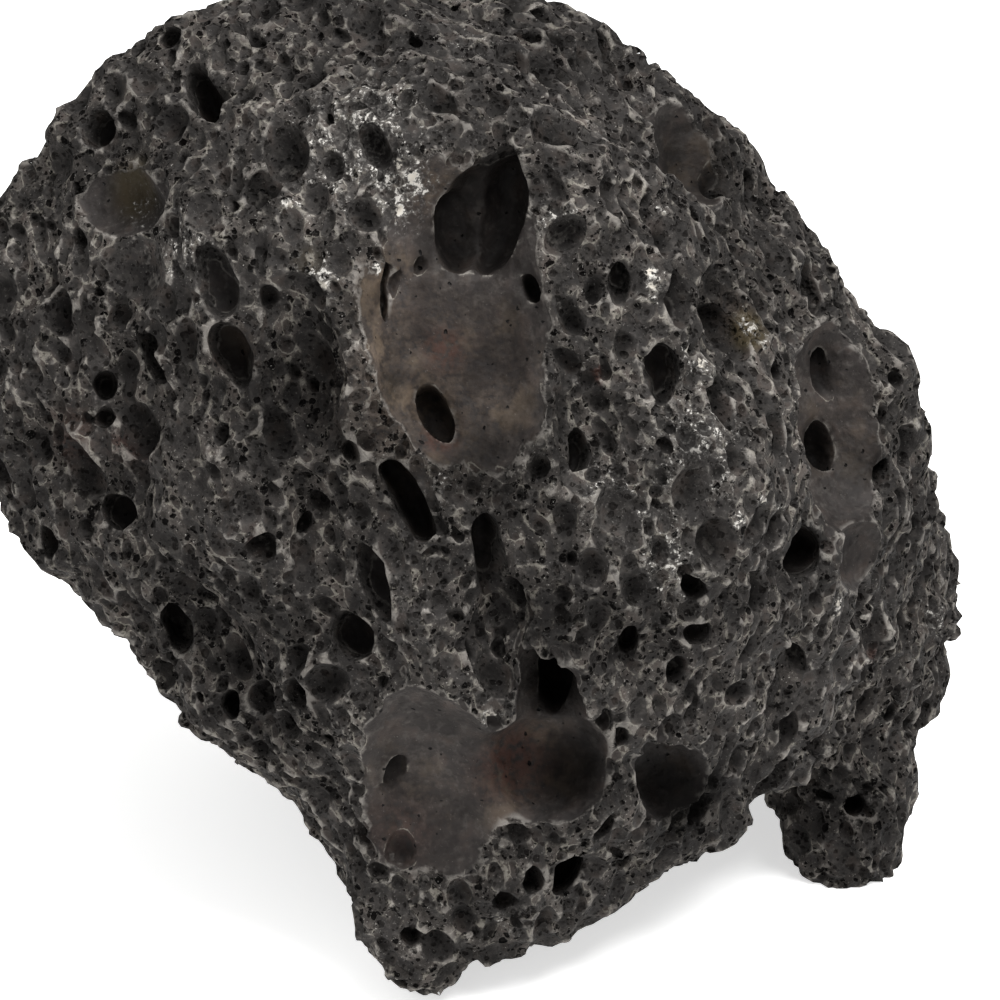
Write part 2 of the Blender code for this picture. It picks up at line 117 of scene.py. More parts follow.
NOSE_CORNERS = [
    (-12, -103, 2), (-21, -98, -1), (-14, -101, 14), (-30, -80, -6), (-41, -60, -7),
    (-44, -32, -14), (4, -89, 2), (28, -76, 6), (48, -63, 18), (46, -42, 2), (-40, -30, -29),
    (-17, -67, -21), (12, -59, -24), (36, -52, -12), (-6, -22, -34), (-15, -90, 22),
    (-32, -62, 60), (22, -66, 62), (2, -78, 38), (-14, -40, 90), (30, -40, 84),
]  # fmt: skip
FOOT_CORNERS = [
    (51, -65, 44), (57, -73, 44), (66, -79, 46), (76, -80, 48), (82, -76, 54), (85, -63, 60),
    (86, -48, 62), (88, -32, 60), (60, -56, 36), (70, -63, 38), (79, -52, 42), (80, -67, 46),
    (78, -61, 84), (60, -56, 96), (80, -46, 104), (50, -50, 96), (50, -40, 70), (84, -34, 96),
]  # fmt: skip


SAME_FACE = math.radians(4.0)


def fracture_faces(corners):
    """Outward normals and plane distances of the convex hull round a set of sheet corners."""
    shell = bmesh.new()
    for corner in corners:
        shell.verts.new(sheet_point(*corner))
    hull = bmesh.ops.convex_hull(shell, input=shell.verts)
    unused = set(hull["geom_interior"] + hull["geom_unused"])
    loose = [item for item in unused if isinstance(item, bmesh.types.BMVert)]
    bmesh.ops.delete(shell, geom=loose, context="VERTS")
    bmesh.ops.dissolve_limit(shell, angle_limit=SAME_FACE, verts=shell.verts, edges=shell.edges)
    bmesh.ops.recalc_face_normals(shell, faces=shell.faces)
    normals = np.array([face.normal for face in shell.faces])
    middles = np.array([face.calc_center_median() for face in shell.faces])
    shell.free()
    return normals, np.einsum("ij,ij->i", normals, middles)


block_faces, nose_faces, foot_faces = map(
    fracture_faces, (BLOCK_CORNERS, NOSE_CORNERS, FOOT_CORNERS)
)
print("faces:", len(block_faces[0]), len(nose_faces[0]), len(foot_faces[0]))

# %% [markdown]
# ## The unbroken stone as a distance
#
# A sheet of points pulled over two parameters suits a smooth pebble, but not lava: bubbles undercut
# their rims and open into each other. So the stone is written as a distance field instead, one
# number for each point of space, negative in stone and positive in air. Taking a bubble out is then
# a maximum of two arrays, and the skin is wherever the number crosses zero.

# %% The field of the three lumps
# Wear is the rounding and the swell in mm. Lumps are a wavelength and its height, front and back.
BROKEN_WEAR, FOOT_WEAR = (2.2, 2.0), (4.0, 4.5)
NECK = 6.0
LUMPS = [(46.0, 2.0, 7.0), (21.0, 2.2, 3.2), (9.5, 1.0, 1.2)]
BACK_STARTS, BACK_FULL = 10.0, 70.0
LUMP_SEED = 11
LUMP_START = SHEET_CENTRE - (13.0, -30.0, 92.7)
LATTICE = 24


def worn_lump(points, faces, wear):
    """Largest distance to any plane, eased by a log of summed exponentials, less the swell."""
    normals, offsets = faces
    rounding, swell = wear
    outside = points @ normals.T - offsets
    most = outside.max(axis=1)
    eased = np.exp((outside - most[:, None]) / rounding).sum(axis=1)
    return most + rounding * np.log(eased) - swell


def fused(one, other):
    """The lesser of two distances, blended by a parabola over NECK, as a fillet between them."""
    share = np.clip(0.5 + 0.5 * (other - one) / NECK, 0.0, 1.0)
    return other + (one - other) * share - NECK * share * (1.0 - share)


def unevenness(points, wavelength, seed):
    """Value noise: random numbers at lattice corners, blended between them by 3t^2 - 2t^3."""
    values = np.random.default_rng(seed).uniform(-1.0, 1.0, (LATTICE,) * 3)
    cell = np.floor(points / wavelength).astype(int)
    part = points / wavelength - cell
    part = part * part * (3.0 - 2.0 * part)
    total = np.zeros(len(points))
    for corner in np.ndindex(2, 2, 2):
        index = (cell + corner) % LATTICE
        weight = np.where(corner, part, 1.0 - part).prod(axis=1)
        total += weight * values[index[:, 0], index[:, 1], index[:, 2]]
    return total


def broken_lumps(points):
    """The three lumps fused, plus noise whose height grows from the front to the back."""
    block = worn_lump(points, block_faces, BROKEN_WEAR)
    nose = worn_lump(points, nose_faces, BROKEN_WEAR)
    outside = fused(fused(block, nose), worn_lump(points, foot_faces, FOOT_WEAR))
    behind = (points - SHEET_CENTRE) @ AWAY
    back = np.clip((behind - BACK_STARTS) / (BACK_FULL - BACK_STARTS), 0.0, 1.0)
    for turn, (wavelength, front_height, back_height) in enumerate(LUMPS):
        height = front_height + (back_height - front_height) * back
        outside += height * unevenness(points - LUMP_START, wavelength, LUMP_SEED + turn)
    return outside


HEART = SHEET_CENTRE + (-5.0, 30.0, 2.3)
print("from the heart to the skin:", -broken_lumps(HEART[None])[0].round(1), "mm")

# %% [markdown]
# ## Crests
#
# Between the hollows the front swells into crests. Each one is a bell-shaped bump, placed where it
# is seen and then dropped onto the surface along the line of sight.

# %% Place the crests: across, up, half width, half length, height, lean
FRONT_CRESTS = [
    (46, -6, 11, 30, 6.5, -14), (-14, -33, 24, 8, 5.0, 80), (-30, 28, 6, 26, 3.0, -4),
    (79, 27, 9, 9, 4.0, 0), (-56, 50, 22, 16, 4.0, 0), (16, 60, 16, 14, 3.0, 0),
    (-62, -10, 14, 16, 3.0, 0), (32, -44, 12, 8, 3.5, 40), (-26, -84, 8, 9, 3.0, 0),
    (9, 20, 6, 24, 3.0, 6), (17, -38, 5, 12, 3.5, -34), (-53, 20, 7, 20, 3.0, -8),
]  # fmt: skip
FRONT_REACH, HEART_REACH = 120.0, 190.0
STEPS, HALVINGS = 120, 18


def first_hits(surface, starts, directions, reach):
    """March each ray in equal steps to the first point inside, then halve the last step often."""
    near = np.zeros(len(starts))
    far = np.full(len(starts), reach)
    found = np.zeros(len(starts), bool)
    for step in range(1, STEPS + 1):
        along = reach * step / STEPS
        seek = ~found
        inside = surface(starts[seek] + directions[seek] * along) < 0.0
        hit = np.flatnonzero(seek)[inside]
        near[hit], far[hit], found[hit] = reach * (step - 1) / STEPS, along, True
    for _ in range(HALVINGS):
        middle = 0.5 * (near + far)
        inside = surface(starts + directions * middle[:, None]) < 0.0
        far = np.where(inside, middle, far)
        near = np.where(inside, near, middle)
    return starts + directions * far[:, None]


def outward(surface, points, nudge=1.5):
    """Normals: the distance's change along each axis, by central differences, made unit long."""
    nudges = nudge * np.eye(3)
    slope = np.stack([surface(points + e) - surface(points - e) for e in nudges], axis=1)
    return slope / np.linalg.norm(slope, axis=1, keepdims=True)


def on_front(surface, rows):
    """Surface points under the sheet rows, found along the lines of sight, and their normals."""
    targets = np.array([sheet_point(row[0], row[1]) for row in rows])
    directions = targets - VIEWER
    directions /= np.linalg.norm(directions, axis=1, keepdims=True)
    points = first_hits(surface, targets - FRONT_REACH * directions, directions, 3.0 * FRONT_REACH)
    return points, outward(surface, points)


def surface_frames(normals, leans):
    """Width, length and depth axes: the sheet's up turned by the lean, laid flat on the surface."""
    lean = np.radians(leans)[:, None]
    length = np.cos(lean) * UP + np.sin(lean) * RIGHT
    length = length - (length * normals).sum(axis=1, keepdims=True) * normals
    length /= np.linalg.norm(length, axis=1, keepdims=True)
    return np.stack([np.cross(length, normals), length, normals], axis=1)


crest_rows = np.array(FRONT_CRESTS, float)
crest_centres, crest_normals = on_front(broken_lumps, crest_rows)
crest_frames = surface_frames(crest_normals, crest_rows[:, 5])
crests = list(zip(crest_centres, crest_frames, crest_rows[:, 2:5], strict=True))


def stone(points):
    """The fused lumps less each crest's height times a bell curve of the distance from it."""
    outside = broken_lumps(points)
    for centre, axes, (half_width, half_length, height) in crests:
        away = (points - centre) @ axes.T / (half_width, half_length, half_width)
        outside -= height * np.exp(-np.square(away).sum(axis=1))
    return outside


print("crests:", len(crests))

# %% [markdown]
# ## A block of voxels
#
# The field is worked out at every 2 mm first, which is fine enough for the large forms, and then
# refined twice by cubic interpolation to a spacing of half a millimetre. Before each refinement a
# little random grain goes in, so that the fracture is rough between the bubbles at 4 mm and at 2
# mm.

# %% Work the field out on a grid, coarse to fine: crumble is wavelength, height and seed
COARSE = 2.0
CRUMBLE = [(15.0, 1.5, 61), (6.5, 1.1, 62)]
GRAIN = [0.55, 0.32]
GRAIN_SEED = 3
MARGIN = 6.0

dice = np.random.default_rng(GRAIN_SEED)
start = low - MARGIN
counts = np.ceil((high - low + 2 * MARGIN) / COARSE).astype(int) + 2


def refined(volume, axis):
    """Twice the samples along an axis: each new one is (9b + 9c - a - d) / 16 of its neighbours."""
    volume = np.moveaxis(volume, axis, 0)
    fine = np.empty((2 * (len(volume) - 3), *volume.shape[1:]), np.float32)
    fine[0::2] = volume[1:-2]
    fine[1::2] = (9.0 * (volume[1:-2] + volume[2:-1]) - volume[:-3] - volume[3:]) / 16.0
    return np.moveaxis(fine, 0, axis)


across_x, across_y, across_z = (start[k] + COARSE * np.arange(counts[k]) for k in range(3))
sheet_yz = np.stack(np.meshgrid(across_y, across_z, indexing="ij"), axis=-1).reshape(-1, 2)
skin = np.empty(tuple(counts), np.float32)
for slab, x in enumerate(across_x):
    points = np.column_stack([np.full(len(sheet_yz), x), sheet_yz])
    outside = stone(points)
    for wavelength, height, seed in CRUMBLE:
        outside += height * unevenness(points - LUMP_START, wavelength, seed)
    skin[slab] = outside.reshape(counts[1], counts[2])
coarse_skin, coarse_start = skin, start.copy()
spacing = COARSE
for height in GRAIN:
    skin = skin + height * dice.standard_normal(skin.shape, np.float32)
    for axis in range(3):
        skin = refined(skin, axis)
    start = start + spacing
    spacing /= 2
skin = np.ascontiguousarray(skin)
print("voxels:", skin.shape, "=", round(skin.size / 1e6, 1), "million of", spacing, "mm")

# %% [markdown]
# ## The large bubbles
#
# A bubble in flowing lava is drawn out into an ellipsoid. Where the break cut one open it leaves a
# bowl: shallow if the break passed near its end, deep and undercut if it passed beyond its middle.
# The rows below are the same ones that shape the solid.

# %% Place the large bubbles: across, up, half width, half length, depth, lean
SMOOTH_HOLLOWS = [
    (-10, 35, 17.5, 31, 7.0, -8), (-16, -60, 15.5, 21.5, 6.5, 4), (9, -54, 13.5, 12, 12.0, -10),
    (35, -57, 10.5, 7, 11.0, 50), (68, 14, 14, 21, 8.5, -6), (73, -12, 9, 8, 4.5, 50),
    (38, 69, 8, 11, 5.5, -12), (-77, 60, 6.5, 12, 5.0, 108), (10, -42, 6.8, 14, 9.5, -3),
]  # fmt: skip
ROUGH_HOLLOWS = [
    (46, 38, 9, 9, 6.0, -20), (73, 41, 7, 8.5, 8.0, 40), (24, 90, 11, 6, 7.0, 62),
    (-74, 20, 8, 12, 4.0, -20), (0, -26, 5.5, 12, 5.5, 4), (-58, -30, 10, 15, 4.0, -40),
    (19, 14, 8, 12, 4.5, -6), (-77, 1, 9, 8, 3.5, 0), (58, -40, 6, 14, 3.5, -8),
    (30, 60, 9, 8, 3.5, 0), (-40, 23, 9, 18, 5.5, -6), (-37, -7, 5, 13, 3.0, -16),
]  # fmt: skip
FRONT_BUBBLES = [
    (-0.5, 57.5, 5.4, 12.5, 13, 14), (-9.0, 54, 4.4, 8.6, 9, -10), (-12.5, 17, 3.2, 6.4, 6, -18),
    (-5, 56.5, 7.2, 11.8, 8, 24), (-23, 42, 1.0, 6.0, 4, -2), (-20.6, 44, 0.8, 3.0, 2, -2),
    (-81, 74.5, 4.2, 3.8, 8, 30), (-59, 81.5, 2.9, 8.0, 10, -27), (-47.8, 62, 3.4, 4.2, 5, 0),
    (-57, 44, 3.8, 7.2, 5, -15), (-70, 29, 3.0, 5.8, 6, -12), (-53.5, 29, 3.8, 6.4, 6, -22),
    (-79, 23, 2.2, 3.0, 5, 0), (-79, 16.5, 2.1, 2.1, 5, 0), (-46.6, 40.5, 1.9, 2.7, 4, 0),
    (-43, 70, 4.4, 6.6, 4, -8), (-67, 76, 5.0, 5.0, 3, 0), (-76, 46, 8.0, 8.0, 3, 0),
    (-38, 84.5, 3.3, 3.1, 4, 0), (-19, 0, 3.1, 8.4, 11, -30), (-2.5, -12.5, 3.0, 10, 10, -10),
    (11, -34.5, 3.8, 8.0, 12, -3), (26.5, -28.5, 1.9, 3.6, 7, 0), (60.2, -10.4, 5.4, 4.8, 12, 0),
    (63.2, 10.5, 3.2, 5.4, 6, 0), (63.4, 27, 2.0, 7.2, 3, -22), (55, 25.6, 1.0, 1.8, 3, 0),
    (63.2, -53.4, 2.7, 3.2, 6, 0), (70.8, -61, 2.4, 2.2, 6, 0), (44, -9, 4.6, 5.6, 3.5, -20),
    (78.4, -41.8, 2.0, 2.4, 5, 0), (82, -44, 1.8, 2.4, 5, 0), (13.6, -74.6, 3.2, 4.6, 9, 20),
    (6.4, -76, 2.6, 2.2, 5, 60), (1, -79, 2.4, 2.2, 5, 60), (-19.4, -69.6, 3.2, 3.8, 2.4, 0),
    (-24, -74, 2.0, 1.6, 3, 40), (-21.6, -53.6, 2.2, 4.2, 3, 0), (32, 66.5, 2.4, 2.8, 6, 0),
    (43, 64, 3.4, 4.4, 4, -10), (33.8, 53.5, 3.4, 4.0, 4, 0), (12.6, 53, 4.0, 4.0, 3, 0),
    (21.4, 61, 2.2, 5.0, 4, -14), (32.6, 25.6, 3.6, 6.0, 6, 0), (15, 9.4, 2.1, 5.2, 5, 4),
    (7.6, 6.2, 2.5, 2.2, 4, 60), (-16, 47, 1.2, 1.6, 2, 0), (2.8, 88, 2.5, 4.4, 4, -10),
    (-76, -2.0, 4.4, 3.6, 6, 30), (-48, -9, 2.9, 2.9, 4, 0), (-65, -25.8, 2.8, 5.4, 9, -14),
    (-53.8, -40.6, 1.8, 3.0, 6, 0), (-47.6, -39.4, 3.2, 4.0, 5, 0),
    (-24.8, -16.2, 3.0, 7.0, 6, -22), (-29.8, 9.0, 1.5, 2.3, 5, 0), (-44, 14, 2.6, 5.8, 3, -10),
    (-41, -32, 2.7, 2.9, 4, 0), (-68, 62, 2.6, 4.6, 2.5, 0), (-66, 55, 2.6, 2.2, 4, 0),
    (38.2, -17.2, 2.9, 2.1, 5, 30), (34.2, -34.2, 2.0, 3.0, 4, 0), (57.8, -46, 2.1, 4.4, 3, -5),
    (39.2, -26.6, 2.5, 2.5, 4, 0), (6.4, 42.6, 1.9, 2.9, 5, -10), (-7.6, -84, 2.6, 3.2, 3, 0),
    (-17.4, -87, 2.0, 1.9, 4, 0), (50, -30, 2.4, 3.0, 3, -10), (24, 44, 2.0, 4.0, 4, -12),
    (19, -14, 3.0, 3.6, 3, 0), (21, -45, 1.4, 2.6, 5, 0), (3.6, -17.6, 2.6, 3.6, 3, 0),
    (60, -31, 2.0, 4.0, 4, -14),
]  # fmt: skip
# Far hollows are placed from the heart instead: turn and height in degrees, then the same four.
FAR_HOLLOWS = [
    (12, 8, 22, 17, 7.0, 30), (-28, -22, 15, 20, 6.0, -20), (48, 30, 17, 13, 5.5, 10),
    (-52, 24, 19, 15, 6.0, 40), (80, -6, 14, 19, 6.0, 0), (-84, 12, 14, 18, 5.5, -20),
    (10, 62, 20, 14, 5.0, 70), (36, -34, 14, 11, 6.0, 0), (-6, -2, 9, 7, 12.0, 20),
    (0, -86, 30, 22, 8.0, 20), (176, -60, 20, 15, 7.0, 0), (62, -60, 20, 15, 7.5, 40),
    (-54, -64, 17, 15, 7.0, -30), (118, -62, 15, 13, 7.0, 10), (14, -58, 17, 12, 6.0, 70),
]  # fmt: skip
FAR_BUBBLES, TRIES, BUBBLE_SEED = 105, 900, 5
FAR_HEIGHTS = (-0.93, 0.99)
FAR_HALF_WIDTH, MORE_SMALL = (2.2, 4.6), 1.6
FAR_STRETCH, FAR_DEPTH = (1.0, 2.0), (1.0, 1.9)
FLOW_LEAN, FAR_LEANS = -18.0, 14.0
CLEAR_OF_NEIGHBOURS = 1.25
DIP_TURN, BUBBLE_TURN = 0.7, 2.0
LIFTS = (-0.35, 0.7)


def hollows(openings, normals, rows):
    """Ellipsoids: the lift is 1 - depth / half width, and the mouth is the circle at that lift."""
    width, length, depth, lean = np.asarray(rows, float).T
    lift = np.clip(1.0 - depth / np.minimum(width, length), *LIFTS)
    half_depth = depth / (1.0 - lift)
    mouth = np.sqrt(1.0 - lift**2)
    centres = openings + normals * (lift * half_depth)[:, None]
    sizes = np.stack([width / mouth, length / mouth, half_depth], axis=1)
    return centres, surface_frames(normals, lean), sizes


def facing_viewer(normals, turn):
    """Normals with turn times the way back to the viewer added, made unit long."""
    turned = normals - turn * AWAY
    return turned / np.linalg.norm(turned, axis=1, keepdims=True)


def compass(turn, height):
    """Unit directions (cos h sin t, cos h cos t, sin h) for degrees of turn and of height."""
    turn, height = np.radians(turn), np.radians(height)
    flat = np.cos(height)
    return np.stack([flat * np.sin(turn), flat * np.cos(turn), np.sin(height)], axis=-1)


def from_heart(directions):
    """The stone's surface along directions from the heart, with its normals."""
    points = first_hits(stone, HEART + HEART_REACH * directions, -directions, HEART_REACH - 1.0)
    return points, outward(stone, points)


def scattered(taken, taken_reach):
    """Bubbles on random bearings, each kept only where it is clear of those already there."""
    roll = np.random.default_rng(BUBBLE_SEED)
    upright = roll.uniform(*FAR_HEIGHTS, TRIES)
    around = roll.uniform(0.0, 360.0, TRIES)
    openings, normals = from_heart(compass(around, np.degrees(np.arcsin(upright))))
    least, most = FAR_HALF_WIDTH
    width = least * (most / least) ** (roll.uniform(size=TRIES) ** MORE_SMALL)
    length, depth = (width * roll.uniform(*spread, TRIES) for spread in (FAR_STRETCH, FAR_DEPTH))
    lean = FLOW_LEAN + roll.normal(0.0, FAR_LEANS, TRIES)
    rows = np.stack([width, length, depth, lean], axis=1)
    kept = []
    for number in range(TRIES):
        reach = rows[number, :2].max() * CLEAR_OF_NEIGHBOURS
        gap = np.linalg.norm(taken - openings[number], axis=1) - taken_reach
        if len(kept) < FAR_BUBBLES and gap.min() > reach:
            kept.append(number)
            taken = np.vstack([taken, openings[number]])
            taken_reach = np.append(taken_reach, reach)
    return openings[kept], normals[kept], rows[kept]


dip_rows, bubble_rows, far_rows = (
    np.array(rows, float) for rows in (SMOOTH_HOLLOWS + ROUGH_HOLLOWS, FRONT_BUBBLES, FAR_HOLLOWS)
)
dip_points, dip_normals = on_front(stone, dip_rows)
dips = hollows(dip_points, facing_viewer(dip_normals, DIP_TURN), dip_rows[:, 2:])


def dented(points):
    """The stone with its front dips taken out: the larger of its distance and each (1 - q) size."""
    outside = stone(points)
    for centre, axes, size in zip(*dips, strict=True):
        q = np.linalg.norm((points - centre) @ axes.T / size, axis=1)
        outside = np.maximum(outside, (1.0 - q) * size.mean())
    return outside


bubble_points, bubble_normals = on_front(dented, bubble_rows)
bubbles = hollows(bubble_points, facing_viewer(bubble_normals, BUBBLE_TURN), bubble_rows[:, 2:])
far_points, far_normals = from_heart(compass(far_rows[:, 0], far_rows[:, 1]))
listed_points = np.vstack([dip_points, bubble_points, far_points])
listed_rows = np.vstack([dip_rows[:, 2:], bubble_rows[:, 2:], far_rows[:, 2:]])
more_points, more_normals, more_rows = scattered(listed_points, listed_rows[:, :2].max(axis=1))
far = hollows(far_points, far_normals, far_rows[:, 2:])
more = hollows(more_points, more_normals, more_rows)
in_front, elsewhere = len(dip_rows) + len(bubble_rows), len(far_rows) + len(more_rows)
print("large bubbles in front:", in_front, "elsewhere:", elsewhere)

# %% [markdown]
# ## Cutting with a maximum
#
# For a point at q times an ellipsoid's size, the distance inside it is about (1 - q) times its mean
# half size. Each bubble only changes a small box of the grid, so thousands of them cost little.

# %% Cut the large bubbles
LARGEST_REACH = 1.35


def carve(cut, centres, frames, sizes, reach=LARGEST_REACH):
    """cut = max(cut, (1 - q) * mean half size), where q = |frame . (p - centre) / sizes|."""
    for centre, axes, size in zip(centres, frames, sizes, strict=True):
        half = reach * np.sqrt(np.square(axes * size[:, None]).sum(axis=0)) + 1.0
        first = np.maximum(np.floor((centre - half - start) / spacing).astype(int), 0)
        last = np.minimum(np.ceil((centre + half - start) / spacing).astype(int) + 1, cut.shape)
        if (last <= first).any():
            continue
        box = tuple(slice(a, b) for a, b in zip(first, last, strict=True))
        q = 0.0
        for axis, half_size in zip(axes, size, strict=True):
            x, y, z = (
                (start[k] + spacing * np.arange(first[k], last[k]) - centre[k]) * axis[k]
                for k in range(3)
            )
            q = q + ((x[:, None, None] + y[:, None] + z) / half_size) ** 2
        inside = ((1.0 - np.sqrt(q)) * size.mean()).astype(cut.dtype)
        np.maximum(cut[box], inside, out=cut[box])
    return cut


def eased_max(one, other, rounding):
    """The larger of two, raised by (rounding - |one - other|)^2 / (4 rounding) where close."""
    near = np.clip(rounding - np.abs(one - other), 0.0, None)
    near *= near
    near *= 0.25 / rounding
    near += np.maximum(one, other)
    return near


# The first two smooth hollows run into the cave beside them over a ridge worn soft.
FAR_AWAY = -6.0
SOFT_RIDGE, RIDGED = 5.0, 2
carve(skin, *(values[len(SMOOTH_HOLLOWS) :] for values in dips))
carve(skin, *far)
wide, scoop = (np.full(skin.shape, FAR_AWAY, np.float16) for _ in range(2))
carve(scoop, *(values[:RIDGED] for values in dips))
carve(wide, *(values[RIDGED : len(SMOOTH_HOLLOWS)] for values in dips))
wide = eased_max(wide, scoop, np.float16(SOFT_RIDGE))
large = np.full(skin.shape, FAR_AWAY, np.float16)
carve(large, *bubbles)
carve(large, *more)
surface = np.maximum(skin, np.maximum(wide, large))
print("large bubbles are cut")

# %% [markdown]
# ## The foam
#
# Between the large bubbles the rock is a foam: bowls of one to eight millimetres that nearly
# touch, with thin walls between them. Bubbles in a melt keep apart until their walls burst, so
# each new one is put where it keeps a wall to those that are there already. Large ones go first
# and small ones fill the gaps, as in a real foam.

# %% Fill the surface with bubbles: half mouth, how many, share of them cut deep
FOAM = [
    (4.2, 60, 0.0), (3.2, 130, 0.04), (2.4, 320, 0.1), (1.75, 850, 0.25), (1.25, 2600, 0.45),
    (0.9, 4600, 0.6),
]  # fmt: skip
FOAM_SEED = 21
PICKED_SPOTS, SPOTS_EACH = 400000, 9
CLEAR_OF_LARGE, NEAR_ZERO = 0.4, 0.4
FOAM_SPREAD, FOAM_STRETCH, FOAM_LEANS = (0.82, 1.22), (1.0, 1.9), 16.0
ROUND_SHARE = 0.6
SHALLOW, DEEP = (0.0, 0.62), (-0.60, 0.05)
SHARE_TWINS, TWIN_APART, TWIN_SIZE = 0.4, (0.5, 0.9), 0.75
WALL = (-0.45, 0.35)
PATCHES, PATCH_SEED, PATCH_WALL = 22.0, 71, 0.40
WIDE_LIP = 1.2
CROWD_STEP = 2 * spacing

dice = np.random.default_rng(FOAM_SEED)


def at(volume, points, first=None, step=None):
    """Trilinear sample: the eight voxels round each point, weighted by how near each one is."""
    first = start if first is None else first
    step = spacing if step is None else step
    place = (points - first) / step
    cell = np.clip(np.floor(place).astype(int), 0, np.array(volume.shape) - 2)
    part = np.clip(place - cell, 0.0, 1.0)
    total = np.zeros(len(points), np.float32)
    for corner in np.ndindex(2, 2, 2):
        weight = np.where(corner, part, 1.0 - part).prod(axis=1)
        total += weight * volume[tuple((cell + corner).T)]
    return total


def slope(volume, points, nudge=1.0):
    """Unit normals from the volume's change along each axis."""
    nudges = nudge * np.eye(3)
    rise = np.stack([at(volume, points + e) - at(volume, points - e) for e in nudges], axis=1)
    return rise / np.maximum(np.linalg.norm(rise, axis=1, keepdims=True), 1e-6)


on_surface = np.flatnonzero(np.abs(surface) < NEAR_ZERO * spacing)
picked = dice.permutation(on_surface)[:PICKED_SPOTS]
spots = start + spacing * np.stack(np.unravel_index(picked, surface.shape), axis=1)
spots = spots[spots[:, 2] > 0.0]
spots = spots[np.maximum(at(wide, spots), at(large, spots)) < -CLEAR_OF_LARGE]
spot_normals = slope(surface, spots)
spot_patches = unevenness(spots, PATCHES, PATCH_SEED)

crowd = np.minimum(-large[::2, ::2, ::2], WIDE_LIP - wide[::2, ::2, ::2]).astype(np.float32)
foam = np.full(skin.shape, FAR_AWAY, np.float16)
next_spot = 0
made = 0
for half_mouth, wanted, share_deep in FOAM:
    share = slice(next_spot, next_spot + SPOTS_EACH * wanted)
    next_spot = share.stop
    places, normals = spots[share], spot_normals[share]
    count = len(places)
    deep = dice.uniform(size=count) < share_deep
    lift = np.where(deep, dice.uniform(*DEEP, count), dice.uniform(*SHALLOW, count))
    sizes = half_mouth * dice.uniform(*FOAM_SPREAD, count) / np.sqrt(1.0 - lift**2)
    stretch = dice.uniform(*FOAM_STRETCH, count)
    wall = dice.uniform(*WALL, count) + PATCH_WALL * spot_patches[share]
    leans = FLOW_LEAN + dice.normal(0.0, FOAM_LEANS, count)
    centres = places + normals * (lift * sizes)[:, None]
    frames = surface_frames(normals, leans)
    half_sizes = np.stack([sizes, sizes * stretch, sizes], axis=1)
    cells = ((centres - start) / CROWD_STEP).round().astype(int)
    cells = np.clip(cells, 0, np.array(crowd.shape) - 1)
    kept = []
    for number in range(count):
        if len(kept) == wanted:
            break
        i, j, k = cells[number]
        radius = sizes[number] * (ROUND_SHARE + (1.0 - ROUND_SHARE) * stretch[number])
        if crowd[i, j, k] < radius + wall[number]:
            continue
        kept.append(number)
        reach = int(2 * radius + 3)
        box = tuple(slice(max(c - reach, 0), c + reach + 1) for c in (i, j, k))
        ticks = (np.arange(box[a].start, min(box[a].stop, crowd.shape[a])) for a in range(3))
        x, y, z = (
            (start[a] + CROWD_STEP * tick - centres[number][a]) ** 2 for a, tick in enumerate(ticks)
        )
        gap = np.sqrt(x[:, None, None] + y[:, None] + z) - radius
        np.minimum(crowd[box], gap.astype(np.float32), out=crowd[box])
    carve(foam, centres[kept], frames[kept], half_sizes[kept])
    twins = [number for number in kept if dice.uniform() < SHARE_TWINS]
    apart = half_sizes[twins, 1] * dice.uniform(*TWIN_APART, len(twins))
    beside = centres[twins] + frames[twins, 1] * apart[:, None]
    carve(foam, beside, frames[twins], half_sizes[twins] * TWIN_SIZE)
    made += len(kept)
    print("mouths", 2 * half_mouth, "mm across:", len(kept), "of", wanted)
print("foam bubbles:", made)

# %% [markdown]
# ## From the field to a mesh
#
# Surface nets put one point in every cell that the skin passes through, at the mean of the places
# where it crosses the cell's edges. Four cells share each crossed edge, and their points make a
# face.

# %% Mesh the zero level
def surface_net(volume):
    """Points at the mean crossing of each mixed cell, and one quad for each crossed edge."""
    solid = volume < 0.0
    corners = [solid[tuple(slice(c, c - 1 or None) for c in one)] for one in np.ndindex(2, 2, 2)]
    some, every = corners[0].copy(), corners[0].copy()
    for corner in corners[1:]:
        some |= corner
        every &= corner
    cells = np.flatnonzero(some & ~every)
    shape = some.shape
    del some, every, corners
    i, j, k = np.unravel_index(cells, shape)
    value = {c: volume[i + c[0], j + c[1], k + c[2]] for c in np.ndindex(2, 2, 2)}
    total, count = np.zeros((len(cells), 3), np.float32), np.zeros(len(cells), np.float32)
    for one in value:
        for axis in range(3):
            if one[axis]:
                continue
            other = tuple(1 if a == axis else one[a] for a in range(3))
            a, b = value[one], value[other]
            crossed = (a < 0.0) != (b < 0.0)
            t = np.where(crossed, a / np.where(crossed, a - b, 1.0), 0.0)
            for c in range(3):
                total[:, c] += crossed * (t if c == axis else one[c])
            count += crossed
    points = np.stack([i, j, k], axis=1) + total / count[:, None]
    number = np.full(shape, -1, np.int32)
    number.ravel()[cells] = np.arange(len(cells), dtype=np.int32)
    quads = []
    for axis in range(3):
        ahead = [slice(None)] * 3
        back = [slice(None)] * 3
        ahead[axis], back[axis] = slice(1, None), slice(None, -1)
        change = solid[tuple(back)] != solid[tuple(ahead)]
        at_edge = np.stack(np.nonzero(change), axis=1)
        u, v = (axis + 1) % 3, (axis + 2) % 3
        inner = np.array(shape)
        keep = (at_edge[:, u] > 0) & (at_edge[:, v] > 0) & (at_edge < inner).all(axis=1)
        at_edge = at_edge[keep]
        ring = []
        for du, dv in ((0, 0), (1, 0), (1, 1), (0, 1)):
            cell = at_edge.copy()
            cell[:, u] -= du
            cell[:, v] -= dv
            ring.append(number[tuple(cell.T)])
        ring = np.stack(ring, axis=1)
        outwards = solid[tuple(at_edge.T)]
        ring[~outwards] = ring[~outwards][:, ::-1]
        quads.append(ring)
    return points, np.vstack(quads)


